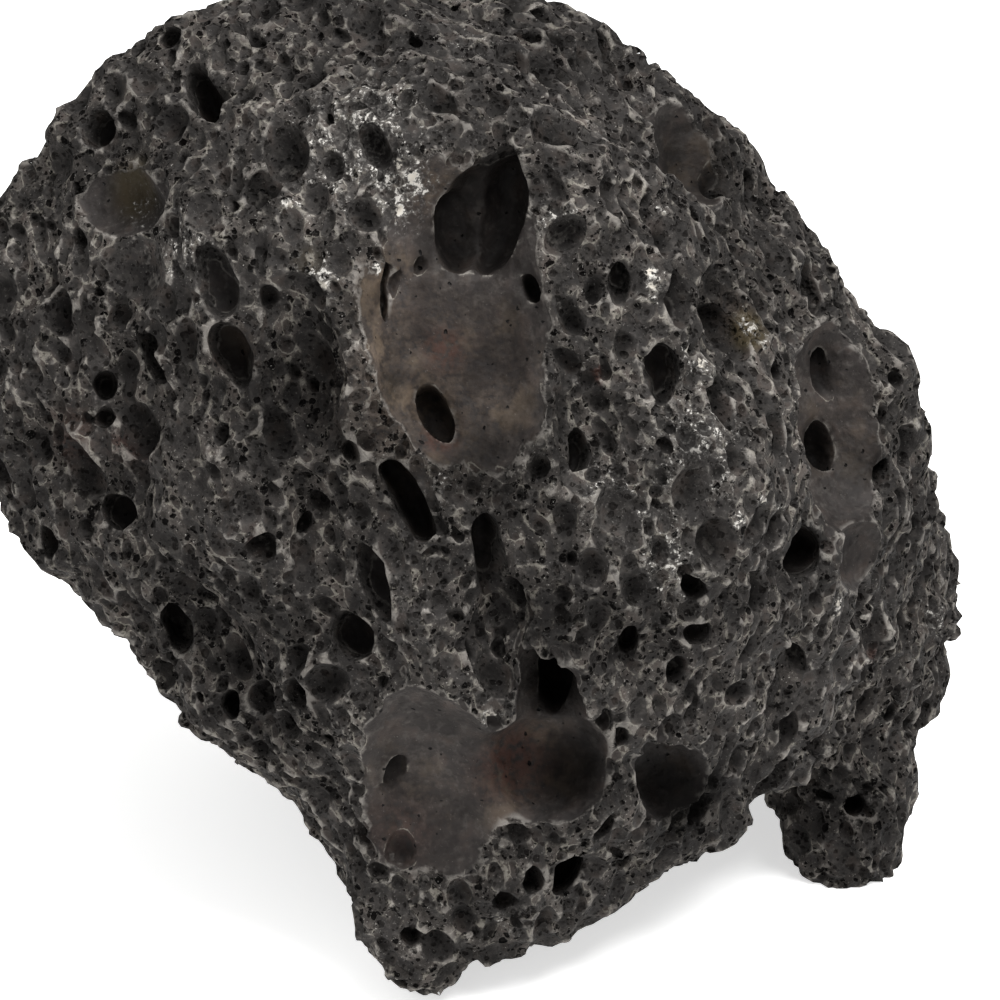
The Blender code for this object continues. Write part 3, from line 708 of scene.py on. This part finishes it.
def largest_piece(count, faces):
    """Labels spread to the least one next to them until they settle; the commonest stays."""
    label = np.arange(count)
    while True:
        lowest = label[faces].min(axis=1)
        new = label.copy()
        np.minimum.at(new, faces.ravel(), np.repeat(lowest, faces.shape[1]))
        new = new[new]
        if (new == label).all():
            break
        label = new
    return label == np.bincount(label).argmax()


def blurred(volume, half):
    """Mean over a cube of 2 half + 1 cells each way, as differences of running sums."""
    width = 2 * half + 1
    for axis in range(3):
        pad = [(half + 1, half) if a == axis else (0, 0) for a in range(3)]
        padded = np.moveaxis(np.pad(volume, pad, mode="edge"), axis, 0)
        sums = np.cumsum(padded, axis=0, dtype=np.float32)
        volume = np.moveaxis((sums[width:] - sums[:-width]) / width, 0, axis)
    return volume


# Points that stand in the air wear off: a cube of WEAR_HALF cells round them is mostly air.
ROUNDING = 0.45
WEAR_HALF, WEAR = 2, 0.26
field = eased_max(surface, foam, ROUNDING)
field = np.maximum(field, blurred(field, WEAR_HALF) - WEAR)
ground = start[2] + spacing * np.arange(skin.shape[2], dtype=np.float32)
field = np.maximum(field, -ground)
points, quads = surface_net(field)
points = start + spacing * points
keep = largest_piece(len(points), quads)
quads = quads[keep[quads[:, 0]]]
order = np.cumsum(keep) - 1
points, quads = points[keep], order[quads]
print("net:", len(points), "points,", len(quads), "faces, loose points:", int((~keep).sum()))

# %% [markdown]
# ## Thinning the mesh
#
# A net of half a millimetre has millions of faces, and most of them lie in smooth bowls.
# Decimate's collapse takes out the edges that change the shape least, so thin walls keep their
# points. A vertex group lets it take more from the back.

# %% Thin the net to what the shape needs
MOST_TRIANGLES = 198000
BACK_PRESSURE, LEVELS = 12.0, 10
BACK_TURN, LEAST_SHARE = (0.5, 0.9), 0.1

slopes = np.gradient(coarse_skin, COARSE)
facing = -sum(rise * part for rise, part in zip(slopes, AWAY, strict=True)).astype(np.float32)
turned = at(facing, points, coarse_start, COARSE)
back_share = np.clip(BACK_TURN[0] - BACK_TURN[1] * turned, LEAST_SHARE, 1.0)


def mesh_of(name, points, faces):
    """A mesh from arrays: points, and faces that all have the same number of corners."""
    mesh = bpy.data.meshes.new(name)
    mesh.vertices.add(len(points))
    mesh.vertices.foreach_set("co", points.astype(np.float32).ravel())
    mesh.loops.add(faces.size)
    mesh.loops.foreach_set("vertex_index", faces.astype(np.int32).ravel())
    mesh.polygons.add(len(faces))
    starts = np.arange(0, faces.size, faces.shape[1], dtype=np.int32)
    mesh.polygons.foreach_set("loop_start", starts)
    mesh.update(calc_edges=True)
    return mesh


net = bpy.data.objects.new("net", mesh_of("net", points, quads))
bpy.context.scene.collection.objects.link(net)
group = net.vertex_groups.new(name="back")
for level in range(1, LEVELS + 1):
    members = np.flatnonzero((back_share * LEVELS).round().astype(int) == level)
    group.add(members.tolist(), level / LEVELS, "REPLACE")
thin = net.modifiers.new("thin", "DECIMATE")
thin.ratio = MOST_TRIANGLES / (2 * len(quads))
thin.vertex_group = "back"
thin.vertex_group_factor = BACK_PRESSURE
graph = bpy.context.evaluated_depsgraph_get()
rock_mesh = bpy.data.meshes.new_from_object(net.evaluated_get(graph))
bpy.data.objects.remove(net)
rock_mesh.name = "lava_rock_dressed"
rock = bpy.data.objects.new("lava_rock_dressed", rock_mesh)
bpy.context.scene.collection.objects.link(rock)
co = np.empty(3 * len(rock_mesh.vertices), np.float32)
rock_mesh.vertices.foreach_get("co", co)
co = co.reshape(-1, 3)
in_front = at(facing, co, coarse_start, COARSE) > 0.0
rock_mesh.calc_loop_triangles()
print("triangles:", len(rock_mesh.loop_triangles), "in front:", round(100 * in_front.mean()), "%")

# %% [markdown]
# ## What each point knows about itself
#
# Colour follows shape on this stone: walls between bowls are pale and rough, bowls are dark and
# smooth, rims catch dust and carry a painted highlight. So each point keeps how deep it is in a
# bowl, how deep in a smooth hollow and how much air is round it, sampled from the voxels, and the
# material reads them. The depths are in mm, not colours, so a limit drawn through them stays sharp
# between the points.

# %% Measure bowls, walls and rims
RIM_HALF, HOLLOW_HALF = 1, 4
even = tuple(2 * (n // 2) for n in field.shape)
solid = np.clip(0.5 - field[: even[0], : even[1], : even[2]] / spacing, 0.0, 1.0)
solid = solid.reshape(even[0] // 2, 2, even[1] // 2, 2, even[2] // 2, 2).mean(axis=(1, 3, 5))
half_start = start + 0.5 * spacing
rim = 0.5 - at(blurred(solid, RIM_HALF), co, half_start, 2 * spacing)
hollow = at(blurred(solid, HOLLOW_HALF), co, half_start, 2 * spacing) - 0.5
skin_here, wide_here, large_here, foam_here = (at(v, co) for v in (skin, wide, large, foam))
bowl = np.maximum(
    foam_here - np.maximum(skin_here, np.maximum(wide_here, large_here)),
    large_here - np.maximum(skin_here, wide_here),
)
smooth = wide_here - skin_here


def keep_measure(name, values):
    """Stores one number for each point as an attribute, and prints its spread."""
    attribute = rock_mesh.attributes.new(name, "FLOAT", "POINT")
    attribute.data.foreach_set("value", values.astype(np.float32))
    print(name, "5%, 50%, 95%:", np.percentile(values, (5, 50, 95)).round(2))


for name, values in (("bowl_mm", bowl), ("smooth_mm", smooth), ("rim", rim)):
    keep_measure(name, values)

# %% [markdown]
# ## Nothing stays an ellipsoid
#
# Real bubbles were pulled about while the lava crept, so no mouth is a true ellipse. Moving the
# finished points by smooth noise, over 9 mm and over 3 mm, bends bowls and walls together and keeps
# the walls' thickness. The shift fades out at the ground, where the flats stay flat.

# %% Bend every bubble a little: wavelength, reach, seed
WARPS = [(9.0, 1.3, 31), (3.2, 0.42, 41)]
GROUND_FADE = 4.0
for wavelength, reach, seed in WARPS:
    shift = np.stack([unevenness(co, wavelength, seed + k) for k in range(3)], axis=1) * reach
    shift *= np.clip(co[:, 2:] / GROUND_FADE, 0.0, 1.0)
    co = co + shift
co[:, 2] = np.maximum(co[:, 2], 0.0)
rock_mesh.vertices.foreach_set("co", (co * MM).astype(np.float32).ravel())
rock_mesh.polygons.foreach_set("use_smooth", np.ones(len(rock_mesh.polygons), bool))
rock_mesh.update()

# %% [markdown]
# ## Calm bowls
#
# The lining of a wide hollow froze smooth. The thinned triangles there are long, and light on them
# shows as streaks, so each point's normal is averaged with its neighbours', only well inside the
# smooth hollows and clear of the bubbles in them.

# %% Calm the shading inside the smooth hollows
CALM_ROUNDS = 8
CALM_STARTS, CALM_FULL, CALM_CLEAR = 0.3, 0.9, 0.6
calm = np.clip((smooth - CALM_STARTS) / (CALM_FULL - CALM_STARTS), 0.0, 1.0)
calm *= np.clip(-CALM_CLEAR - np.maximum(large_here, foam_here), 0.0, 1.0)
ends = np.empty(2 * len(rock_mesh.edges), np.int32)
rock_mesh.edges.foreach_get("vertices", ends)
ends = ends.reshape(-1, 2)
normals = np.empty(3 * len(co), np.float32)
rock_mesh.vertices.foreach_get("normal", normals)
normals = normals.reshape(-1, 3)
for _ in range(CALM_ROUNDS):
    around = normals.copy()
    for here, there in (ends.T, ends.T[::-1]):
        np.add.at(around, here, normals[there])
    around /= np.linalg.norm(around, axis=1, keepdims=True)
    normals += calm[:, None] * (around - normals)
rock_mesh.normals_split_custom_set_from_vertices(normals)
print("calm points:", round(100 * float((calm > 0.5).mean()), 1), "%")

# %% [markdown]
# ## Stains, crusts and painted shade
#
# Frost-white zeolite crusts sit on the walls in a few patches, the large bowls are brown with iron,
# and some spots are olive or rust red. Each is a soft spot placed on the sheet. A tone in stops
# adds dusty and darker patches and painted shade: deep in bowls, where stone closes round a point,
# and in the caves.

# %% Place the stains: across, up, reach, strength
FROST = [
    (-28, 74, 14, 0.85), (-22, 64, 8, 0.9), (-37, 45, 5, 0.9), (40, 11, 10, 0.85),
    (30, 43, 4, 0.6), (11, 57, 5, 0.6), (40, 27, 5, 0.6), (22, 2, 8, 0.6), (68, -22, 3, 0.8),
    (86, -24, 5, 0.8), (34, -12, 9, 0.75), (-2, -43, 2.0, 1.4), (-64, 48, 9, 0.65),
    (-70, 58, 5, 0.5), (-10, 94, 12, 0.3), (2, -84, 6, 0.4), (-13, 2, 4, 0.6),
    # single crusts
    (30, 46, 1.6, 1.8), (30.6, 43, 1.4, 1.8), (32, 40.6, 1.3, 1.8), (34.4, 38, 1.2, 1.6),
    (38, 30, 1.3, 1.6), (40, 27.6, 1.5, 1.8), (41, 25.4, 1.2, 1.6), (11, 58, 1.6, 1.8),
    (12, 55.8, 1.3, 1.6), (9.8, 54.6, 1.2, 1.6), (33, 58.4, 1.4, 1.2), (53, -1, 2.0, 1.3),
    (56, -3, 1.8, 1.5), (67.4, -20.6, 1.2, 1.8), (67.8, -23.4, 1.2, 1.8), (50.4, 34.4, 2.6, 1.1),
    (52, 31.6, 1.8, 1.2), (-20.6, 67, 1.9, 1.7), (-17.6, 64.6, 2.0, 1.7), (-20, 58, 1.6, 1.8),
    (-15.6, 62, 1.5, 1.5), (-24.6, 46.4, 1.3, 1.6), (-36, 43, 2.0, 1.6), (-31, 70, 2.2, 1.5),
    (-53, 59, 1.8, 1.3), (29, -3, 1.4, 1.3), (-42, 59, 1.6, 1.3), (-34, 62, 1.8, 1.4),
    (48, -4, 1.5, 1.3), (17, -15, 1.2, 1.2),
]  # fmt: skip
BROWN = [
    (-14, 22, 19, 1.0), (-22, 40, 10, 1.0), (-14, 62, 8, 0.8), (4, -52, 10, 1.0),
    (-18, -58, 16, 0.35), (2, -56, 9, 0.8), (68, 14, 14, 0.35), (36, -52, 6, 0.3),
    (48, 36, 7, 0.7), (-54, 30, 6, 0.8), (-86, 14, 9, 0.5), (84, -24, 6, 0.6), (74, -42, 10, 0.4),
    (40, 66, 10, 0.5), (-38, -4, 10, 0.3),
]  # fmt: skip
OLIVE = [(-72, 62, 6, 1.0), (50, 34, 4, 1.2), (-38, 48, 4, 0.5), (-22, 22, 6, 0.3)]
RUST = [
    (-11, 30, 5, 0.7), (-48, -9, 2.5, 1.0), (2, -52, 9, 0.8), (-12, 12, 4, 0.8), (-75, 10, 6, 0.6),
    (75, -32, 3, 0.8), (20, 25, 2, 1.0), (-86, 12, 8, 0.5), (-54, 29, 4, 0.8), (-20, -66, 10, 0.4),
]  # fmt: skip
DUSTY = [
    (-32, 66, 13, 0.9), (-64, 50, 12, 0.6), (-88, 60, 8, 0.4), (50, 24, 9, 0.4), (48, 4, 10, 0.4),
    (64, -38, 10, 0.7), (48, -48, 10, 0.7), (-28, 28, 6, 1.5), (30, 42, 6, 0.6), (56, 12, 8, 0.5),
    (12, 56, 7, 0.5), (-20, -28, 9, 0.7), (74, -22, 9, 0.4), (22, -52, 4, 0.5), (-22, -86, 9, 1.4),
    (-66, 50, 10, 0.9), (-20, 52, 8, 1.2), (-82, 46, 6, 0.6), (20, 16, 8, 0.3), (92, 0, 8, 0.4),
    (-40, 44, 6, 0.5), (-80, 22, 8, 0.4), (-56, 34, 5, 0.8), (30, 62, 5, 1.0), (-26, -42, 5, 0.6),
    (24, -62, 4, 1.0),
]  # fmt: skip
# Darker glassy patches, and painted shade in the caves and deep bowls, where the strongest spots
# sit.
GLASSY_AND_SHADED = [
    (-74, 76, 10, 0.7), (-57, 80, 7, 0.6), (-40, 22, 13, 1.9), (-76, 2, 9, 0.6), (-20, 2, 8, 0.6),
    (8, 14, 10, 1.0), (8, -24, 11, 0.9), (8, -44, 9, 0.7), (-64, -22, 12, 0.9),
    (-50, -38, 13, 1.2), (36, -58, 9, 5.2), (70, -62, 15, 1.2), (60, -8, 7, 0.8), (74, 10, 7, 0.9),
    (28, -28, 8, 0.4), (38, 68, 11, 2.0), (24, 78, 12, 0.4), (15, -55, 9, 3.8),
    (-40, -24, 10, 0.3), (-94, 14, 10, 0.4), (0, 30, 10, 1.2), (-4, 9, 9, 2.0), (11, -35, 6, 4.5),
    (-9, 54, 4, 1.6), (72, -12, 8, 0.6), (10, 92, 14, 0.8), (-20, 96, 14, 0.6), (36, 6, 10, 1.0),
    (44, 50, 8, 0.4), (-72, 60, 7, 1.6), (-30, -6, 8, 0.5), (4, -52, 9, 1.6), (-62, 64, 5, 0.4),
]  # fmt: skip
# Tones are in stops: one stop more is twice the light that comes back. Patches have a wavelength,
# stops and a seed.
DUSTY_STOPS, GLASSY_AND_SHADED_STOPS = 0.45, 0.75
PATCHY_STOPS = [(28.0, 0.30, 81), (9.0, 0.35, 84), (4.0, 0.25, 87)]
# Painted shade: a point deeper in a bowl is darker, and a point closed in by stone is darker still.
DEEP_SHADE_STOPS, DEEP_SHADE_STARTS, DEEP_SHADE_MOST = 0.22, 0.5, 5.0
RECESS_SHADE_STOPS, RECESS_SHADE_STARTS, RECESS_SHADE_FULL = 1.8, 0.08, 0.30
OVERALL_STOPS, DARKEST, PALEST = 0.72, -3.5, 0.8


def stain(rows):
    """The strongest of the spots' bell curves: strength * exp(-(distance / reach)^2)."""
    rows = np.array(rows, float)
    centres, _ = on_front(dented, rows)
    most = np.zeros(len(co), np.float32)
    for centre, (_, _, reach, strength) in zip(centres, rows, strict=True):
        most = np.maximum(most, strength * np.exp(-np.square((co - centre) / reach).sum(axis=1)))
    return most


for name, rows in (("frost", FROST), ("brown", BROWN), ("olive", OLIVE), ("rust", RUST)):
    keep_measure(name, stain(rows))
tone_and_shade = DUSTY_STOPS * stain(DUSTY) - GLASSY_AND_SHADED_STOPS * stain(GLASSY_AND_SHADED)
for wavelength, stops, seed in PATCHY_STOPS:
    tone_and_shade += stops * unevenness(co, wavelength, seed)
# Painted shade in bowls, then in recesses where a cube round the point is mostly stone.
tone_and_shade -= DEEP_SHADE_STOPS * np.clip(bowl - DEEP_SHADE_STARTS, 0.0, DEEP_SHADE_MOST)
recess_shade = np.clip((hollow - RECESS_SHADE_STARTS) / (RECESS_SHADE_FULL - RECESS_SHADE_STARTS), 0.0, 1.0)
keep_measure("tone_and_shade", np.clip(tone_and_shade - RECESS_SHADE_STOPS * recess_shade - OVERALL_STOPS, DARKEST, PALEST))

# %% [markdown]
# ## Weathered vesicular basalt
#
# The rock froze as black glass and fine grey crystals. Bubble walls froze smooth, so the bowls are
# dark with a faint sheen. The fracture between them is crystal grain, pale with dust, and pricked
# by bubbles too small for the mesh. The pricks are painted near black as shade, the rims pale as
# dust and painted highlight, and the brightest grains as painted glints.

# %% Build the material
def linear(code):
    """sRGB hex to linear: c / 12.92 below 0.04045, else ((c + 0.055) / 1.055) ^ 2.4."""
    parts = [int(code[i : i + 2], 16) / 255 for i in (1, 3, 5)]
    return (*(c / 12.92 if c <= 0.04045 else ((c + 0.055) / 1.055) ** 2.4 for c in parts), 1.0)


basalt = bpy.data.materials.new("weathered_vesicular_basalt")
basalt.use_nodes = True
tree = basalt.node_tree
shader = tree.nodes["Principled BSDF"]


def add(kind, feeds=None, gives=0, **settings):
    """Adds a node with its settings; each input is fed by a socket or set to a value."""
    node = tree.nodes.new("ShaderNode" + kind)
    for name, value in settings.items():
        setattr(node, name, value)
    for key, value in (feeds or {}).items():
        if isinstance(value, bpy.types.NodeSocket):
            tree.links.new(value, node.inputs[key])
        else:
            node.inputs[key].default_value = value
    return node.outputs[gives]


place = add("TexCoord", gives="Object")
mm = add("VectorMath", {0: place, "Scale": 1.0 / MM}, operation="SCALE")
known = {
    name: add("Attribute", gives="Fac", attribute_name=name)
    for name in ("bowl_mm", "smooth_mm", "rim", "tone_and_shade", "frost", "brown", "olive", "rust")
}

# Noise in cells per mm, detail and roughness. Patches of weathering are 10 and 4 mm across and
# crumbs of broken glass 1.7 mm. The crystals of basalt are 0.1 to 0.3 mm, too fine to show, so the
# grain is drawn at 0.5 mm. The crust grows over the bent space of the bubbles.
NOISES = {
    "mottle": (0.1, 4.0, 0.65),
    "patch": (0.24, 2.0, 0.5),
    "crumb": (0.6, 5.0, 0.62),
    "grain": (1.9, 3.0, 0.7),
    "crust": (1.1, 4.0, 0.6),
}
BEND = 1.3
wobble = add("TexNoise", {"Vector": mm, "Scale": 0.8, "Detail": 2.0}, gives="Color")
wobble = add("VectorMath", {0: wobble, 1: (0.5, 0.5, 0.5)}, operation="SUBTRACT")
bent = add("VectorMath", {0: wobble, 1: (BEND, BEND, BEND), 2: mm}, operation="MULTIPLY_ADD")
noise = {}
for name, (scale, detail, roughness) in NOISES.items():
    feeds = {"Scale": scale, "Detail": detail, "Roughness": roughness}
    noise[name] = add("TexNoise", {"Vector": bent if name == "crust" else mm, **feeds})

# Bubbles too small for the mesh, as balls in the cells of a bent 3-D Voronoi pattern: cell in mm,
# least and greatest radius in cells. Where the radius comes out negative the cell has no bubble.
# Their dents go into the bump, and their insides are painted near black as shade.
PRICKS = {"small": (2.2, 0.06, 0.54), "tiny": (1.15, 0.05, 0.56), "pin": (1.9, -0.25, 0.30)}
prick, dent = {}, {}
for name, (cell, least, most) in PRICKS.items():
    chance = add("TexVoronoi", {"Vector": bent, "Scale": 1.0 / cell}, gives="Color")
    away = chance.node.outputs["Distance"]
    radius = add("MapRange", {0: chance, 3: least, 4: most})
    deep = add("Math", {0: radius, 1: away}, operation="SUBTRACT")
    prick[name] = add("Math", {0: deep, 1: cell}, operation="MULTIPLY")
    dent[name] = add("Math", {0: prick[name], 1: 0.0}, operation="MAXIMUM")
ring = add("Math", {0: prick["small"]}, operation="ABSOLUTE")

# Where bowls and smooth hollows end: their distance in mm, frayed by the crumbs. In a Map Range, 1
# and 2 are where the share begins and is full, 3 and 4 what it is there.
SOFTLY = {"interpolation_type": "SMOOTHSTEP"}
BOWL_SHOWS, SMOOTH_SHOWS = 0.55, 0.93
EDGES = {"bowl": ("bowl_mm", -0.15, 0.15), "smooth": ("smooth_mm", -0.3, 0.6)}
fray = add("Math", {0: noise["crumb"], 1: 0.9, 2: -0.70}, operation="MULTIPLY_ADD")
fray = add("Math", {0: noise["grain"], 1: 0.5, 2: fray}, operation="MULTIPLY_ADD")
edge, inside = {}, {}
for name, (measure, outer, inner) in EDGES.items():
    edge[name] = add("Math", {0: known[measure], 1: fray}, operation="ADD")
    inside[name] = add("MapRange", {0: edge[name], 1: outer, 2: inner}, **SOFTLY)
open_bowl = add("Math", {0: inside["bowl"], 1: -BOWL_SHOWS, 2: 1.0}, operation="MULTIPLY_ADD")
off_smooth = add("Math", {0: inside["smooth"], 1: -SMOOTH_SHOWS, 2: 1.0}, operation="MULTIPLY_ADD")
rough = add("Math", {0: open_bowl, 1: off_smooth}, operation="MULTIPLY")
lip = add("Math", {0: edge["bowl"]}, operation="ABSOLUTE")
wide_lip = add("Math", {0: edge["smooth"]}, operation="ABSOLUTE")
weathered = add("Math", {0: noise["crumb"], 1: 0.6, 2: noise["patch"]}, operation="MULTIPLY_ADD")
warm = add("MapRange", {0: noise["crumb"], 1: 0.34, 2: 0.60}, **SOFTLY)
shallow = add("MapRange", {0: known["bowl_mm"], 1: 1.6, 2: 0.6})
# Dust and a painted highlight on the lips, in patches and only near the mouth of a bowl.
dust_and_highlight = add("MapRange", {0: weathered, 1: 0.76, 2: 0.92, 4: shallow}, **SOFTLY)
crusted = add("Math", {0: known["frost"], 1: 0.22, 2: noise["crust"]}, operation="MULTIPLY_ADD")
on_wall = add("MapRange", {0: known["bowl_mm"], 1: 0.5, 2: -0.1, 3: 0.1, 4: 1.0})
crust_here = add("MapRange", {0: known["frost"], 2: 0.3, 4: on_wall})
thick_crust = add("MapRange", {0: known["frost"], 1: 0.9, 2: 1.2})
brown_here = add("MapRange", {0: known["brown"], 1: 0.1, 2: 0.6, 4: inside["smooth"]})
pit = add("Math", {0: dent["small"], 1: dent["tiny"]}, operation="MAXIMUM")
pit = add("Math", {0: pit, 1: rough}, operation="MULTIPLY")

# Coats from the rock outwards: measure, from, to, strength, where, colour.
COATS = [
    (weathered, 0.66, 1.00, 1.0, None, "#57524e"),
    (noise["grain"], 0.54, 0.70, 0.35, rough, "#7c7873"),
    (noise["grain"], 0.46, 0.32, 0.60, rough, "#161514"),
    (inside["bowl"], 0.0, 1.0, 0.65, None, "#2c2a29"),
    (inside["smooth"], 0.0, 1.0, 0.85, None, "#342f2d"),
    (noise["crumb"], 0.50, 0.66, 0.40, None, "#5a5652"),
    (noise["patch"], 0.56, 0.44, 0.35, None, "#201e1d"),
    (known["brown"], 0.10, 0.9, 0.60, warm, "#51453b"),
    (noise["patch"], 0.54, 0.68, 0.35, None, "#463b35"),
    (noise["mottle"], 0.50, 0.64, 0.55, brown_here, "#6b5d4e"),
    (noise["mottle"], 0.48, 0.36, 0.60, brown_here, "#272220"),
    (known["rust"], 0.1, 0.8, 0.80, warm, "#4c3028"),
    (known["olive"], 0.1, 0.8, 0.50, None, "#5a4e30"),
    # Painted shade: the small and tiny pits are near black inside.
    (prick["tiny"], 0.0, 0.08, 0.85, rough, "#0d0c0b"),
    (prick["small"], 0.0, 0.12, 0.90, rough, "#0a0909"),
    # Pale lines of dust and painted highlight: round the small pits, on bowl lips, on the lips of
    # smooth hollows and on ridges.
    (ring, 0.10, 0.03, 0.12, rough, "#86827d"),
    (lip, 0.22, 0.04, 0.60, dust_and_highlight, "#989389"),
    (wide_lip, 0.40, 0.06, 0.50, warm, "#938e88"),
    (known["rim"], 0.08, 0.22, 0.50, dust_and_highlight, "#a09b95"),
    # The brightest grains are pale crystals painted brighter as glints, a painted highlight.
    (noise["grain"], 0.64, 0.70, 0.75, rough, "#b4b0aa"),
    (noise["grain"], 0.68, 0.73, 0.50, inside["smooth"], "#8d8780"),
    (crusted, 0.56, 0.74, 0.50, crust_here, "#86837f"),
    (crusted, 0.71, 0.76, 0.90, crust_here, "#d8d4cd"),
    (lip, 0.50, 0.25, 0.95, thick_crust, "#d2cbbf"),
    (crusted, 0.76, 0.84, 0.95, thick_crust, "#d2cbbf"),
    # Painted shade: the pinholes are near black.
    (prick["pin"], 0.0, 0.06, 0.90, None, "#0b0a0a"),
]
colour = linear("#3a3633")
for measure, begins, full, strength, where, paint in COATS:
    share = add("MapRange", {0: measure, 1: begins, 2: full, 4: strength}, **SOFTLY)
    if where is not None:
        share = add("Math", {0: share, 1: where}, operation="MULTIPLY")
    colour = add("Mix", {0: share, 6: colour, 7: linear(paint)}, gives=2, data_type="RGBA")
exposure = add("Math", {0: 2.0, 1: known["tone_and_shade"]}, operation="POWER")
colour = add("VectorMath", {0: colour, "Scale": exposure}, operation="SCALE")

# Heights in mm: measure, gain, where.
RELIEF = [
    (dent["small"], -1.7, rough),
    (dent["tiny"], -1.7, rough),
    (dent["pin"], -1.7, None),
    (noise["grain"], 0.20, rough),
    (noise["crumb"], 0.50, rough),
    (noise["crumb"], 0.22, None),
    (noise["patch"], 0.9, None),
]
height = 0.0
for measure, gain, where in RELIEF:
    if where is not None:
        measure = add("Math", {0: measure, 1: where}, operation="MULTIPLY")
    height = add("Math", {0: measure, 1: gain, 2: height}, operation="MULTIPLY_ADD")
normal = add("Bump", {"Height": height, "Distance": MM, "Strength": 1.0})

# Glassy bowls are a little smoother than the grain. Gloss falls where the rock is painted darker,
# so the painted shade of deep bowls, recesses and caves dims the reflection as well, and pits lose
# it.
GLASS_ROUGHNESS, GRAIN_ROUGHNESS = 0.60, 0.90
DARK_GLOSS, PALE_GLOSS, PIT_GLOSS = 0.03, 0.14, 0.02
sheen = add("MapRange", {0: rough, 3: GLASS_ROUGHNESS, 4: GRAIN_ROUGHNESS})
gloss = add("MapRange", {0: known["tone_and_shade"], 1: -3.0, 2: -0.5, 3: DARK_GLOSS, 4: PALE_GLOSS})
gloss = add("MapRange", {0: pit, 2: 0.12, 3: gloss, 4: PIT_GLOSS})
finish = {"Base Color": colour, "Normal": normal, "Roughness": sheen, "Specular IOR Level": gloss}
for name, source in finish.items():
    tree.links.new(source, shader.inputs[name])
rock_mesh.materials.clear()
rock_mesh.materials.append(basalt)
print("coats:", len(COATS), "nodes:", len(tree.nodes))

# %% [markdown]
# ## In the frame
#
# The stone is one piece, so it rides the body that doesn't move and stands for the whole solid.

# %% Put the dressed stone in the frame
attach(rock, "root")
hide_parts(NODE)

# %% [markdown]
# ## Floor, light and camera
#
# The stone stands on a pale table in the soft light of a lamp above on the right, a larger and
# weaker one on the left, and a pale room all round. The table glows a little, as a light table
# does, so the shadow stays faint.

# %% Floor, lamps and camera
FLOOR_HALF = 4.0
ROOM_LIGHT, TABLE_GLOW, WHITE = 0.42, 0.6, (1.0, 1.0, 1.0, 1.0)
# Lamps: across, up and behind in mm, side in metres, watts.
LAMPS = {"key": (420, 1000, -450, 0.6, 13.0), "fill": (-800, 700, -500, 1.2, 4.0)}
LENS, SENSOR, NEAREST = 200.0, 36.0, 0.05

floor_points = np.array([(-1, -1, 0), (1, -1, 0), (1, 1, 0), (-1, 1, 0)], float) * FLOOR_HALF
floor = bpy.data.objects.new("floor", mesh_of("floor", floor_points, np.array([[0, 1, 2, 3]])))
bpy.context.scene.collection.objects.link(floor)
pale = bpy.data.materials.new("pale_paper")
pale.use_nodes = True
paper = {
    "Base Color": linear("#f6f6f5"), "Roughness": 0.9,
    "Emission Color": WHITE, "Emission Strength": TABLE_GLOW,
}  # fmt: skip
for name, value in paper.items():
    pale.node_tree.nodes["Principled BSDF"].inputs[name].default_value = value
floor.data.materials.append(pale)

world = bpy.data.worlds.new("pale room")
world.use_nodes = True
for name, value in (("Color", WHITE), ("Strength", ROOM_LIGHT)):
    world.node_tree.nodes["Background"].inputs[name].default_value = value
bpy.context.scene.world = world


def lamp(name, across, up, behind, size, power):
    """A square lamp at a sheet place, turned to the middle of the stone."""
    data = bpy.data.lights.new(name, "AREA")
    data.size, data.energy = size, power
    made = bpy.data.objects.new(name, data)
    spot = sheet_point(across, up, behind) * MM
    aim = (SHEET_CENTRE + 40 * AWAY) * MM - spot
    made.location = spot
    made.rotation_mode = "QUATERNION"
    made.rotation_quaternion = mathutils.Vector(aim).to_track_quat("-Z", "Y")
    bpy.context.scene.collection.objects.link(made)


for name, row in LAMPS.items():
    lamp(name, *row)

camera_data = bpy.data.cameras.new("camera")
camera_data.lens, camera_data.sensor_width, camera_data.clip_start = LENS, SENSOR, NEAREST
camera = bpy.data.objects.new("camera", camera_data)
camera.matrix_world = mathutils.Matrix(
    [[RIGHT[r], UP[r], -AWAY[r], VIEWER[r] * MM] for r in range(3)] + [[0, 0, 0, 1]]
)
bpy.context.scene.collection.objects.link(camera)
bpy.context.scene.camera = camera
bpy.context.scene.view_settings.view_transform = "Standard"
print("lamps:", len(LAMPS), "camera at", (VIEWER * MM).round(3))
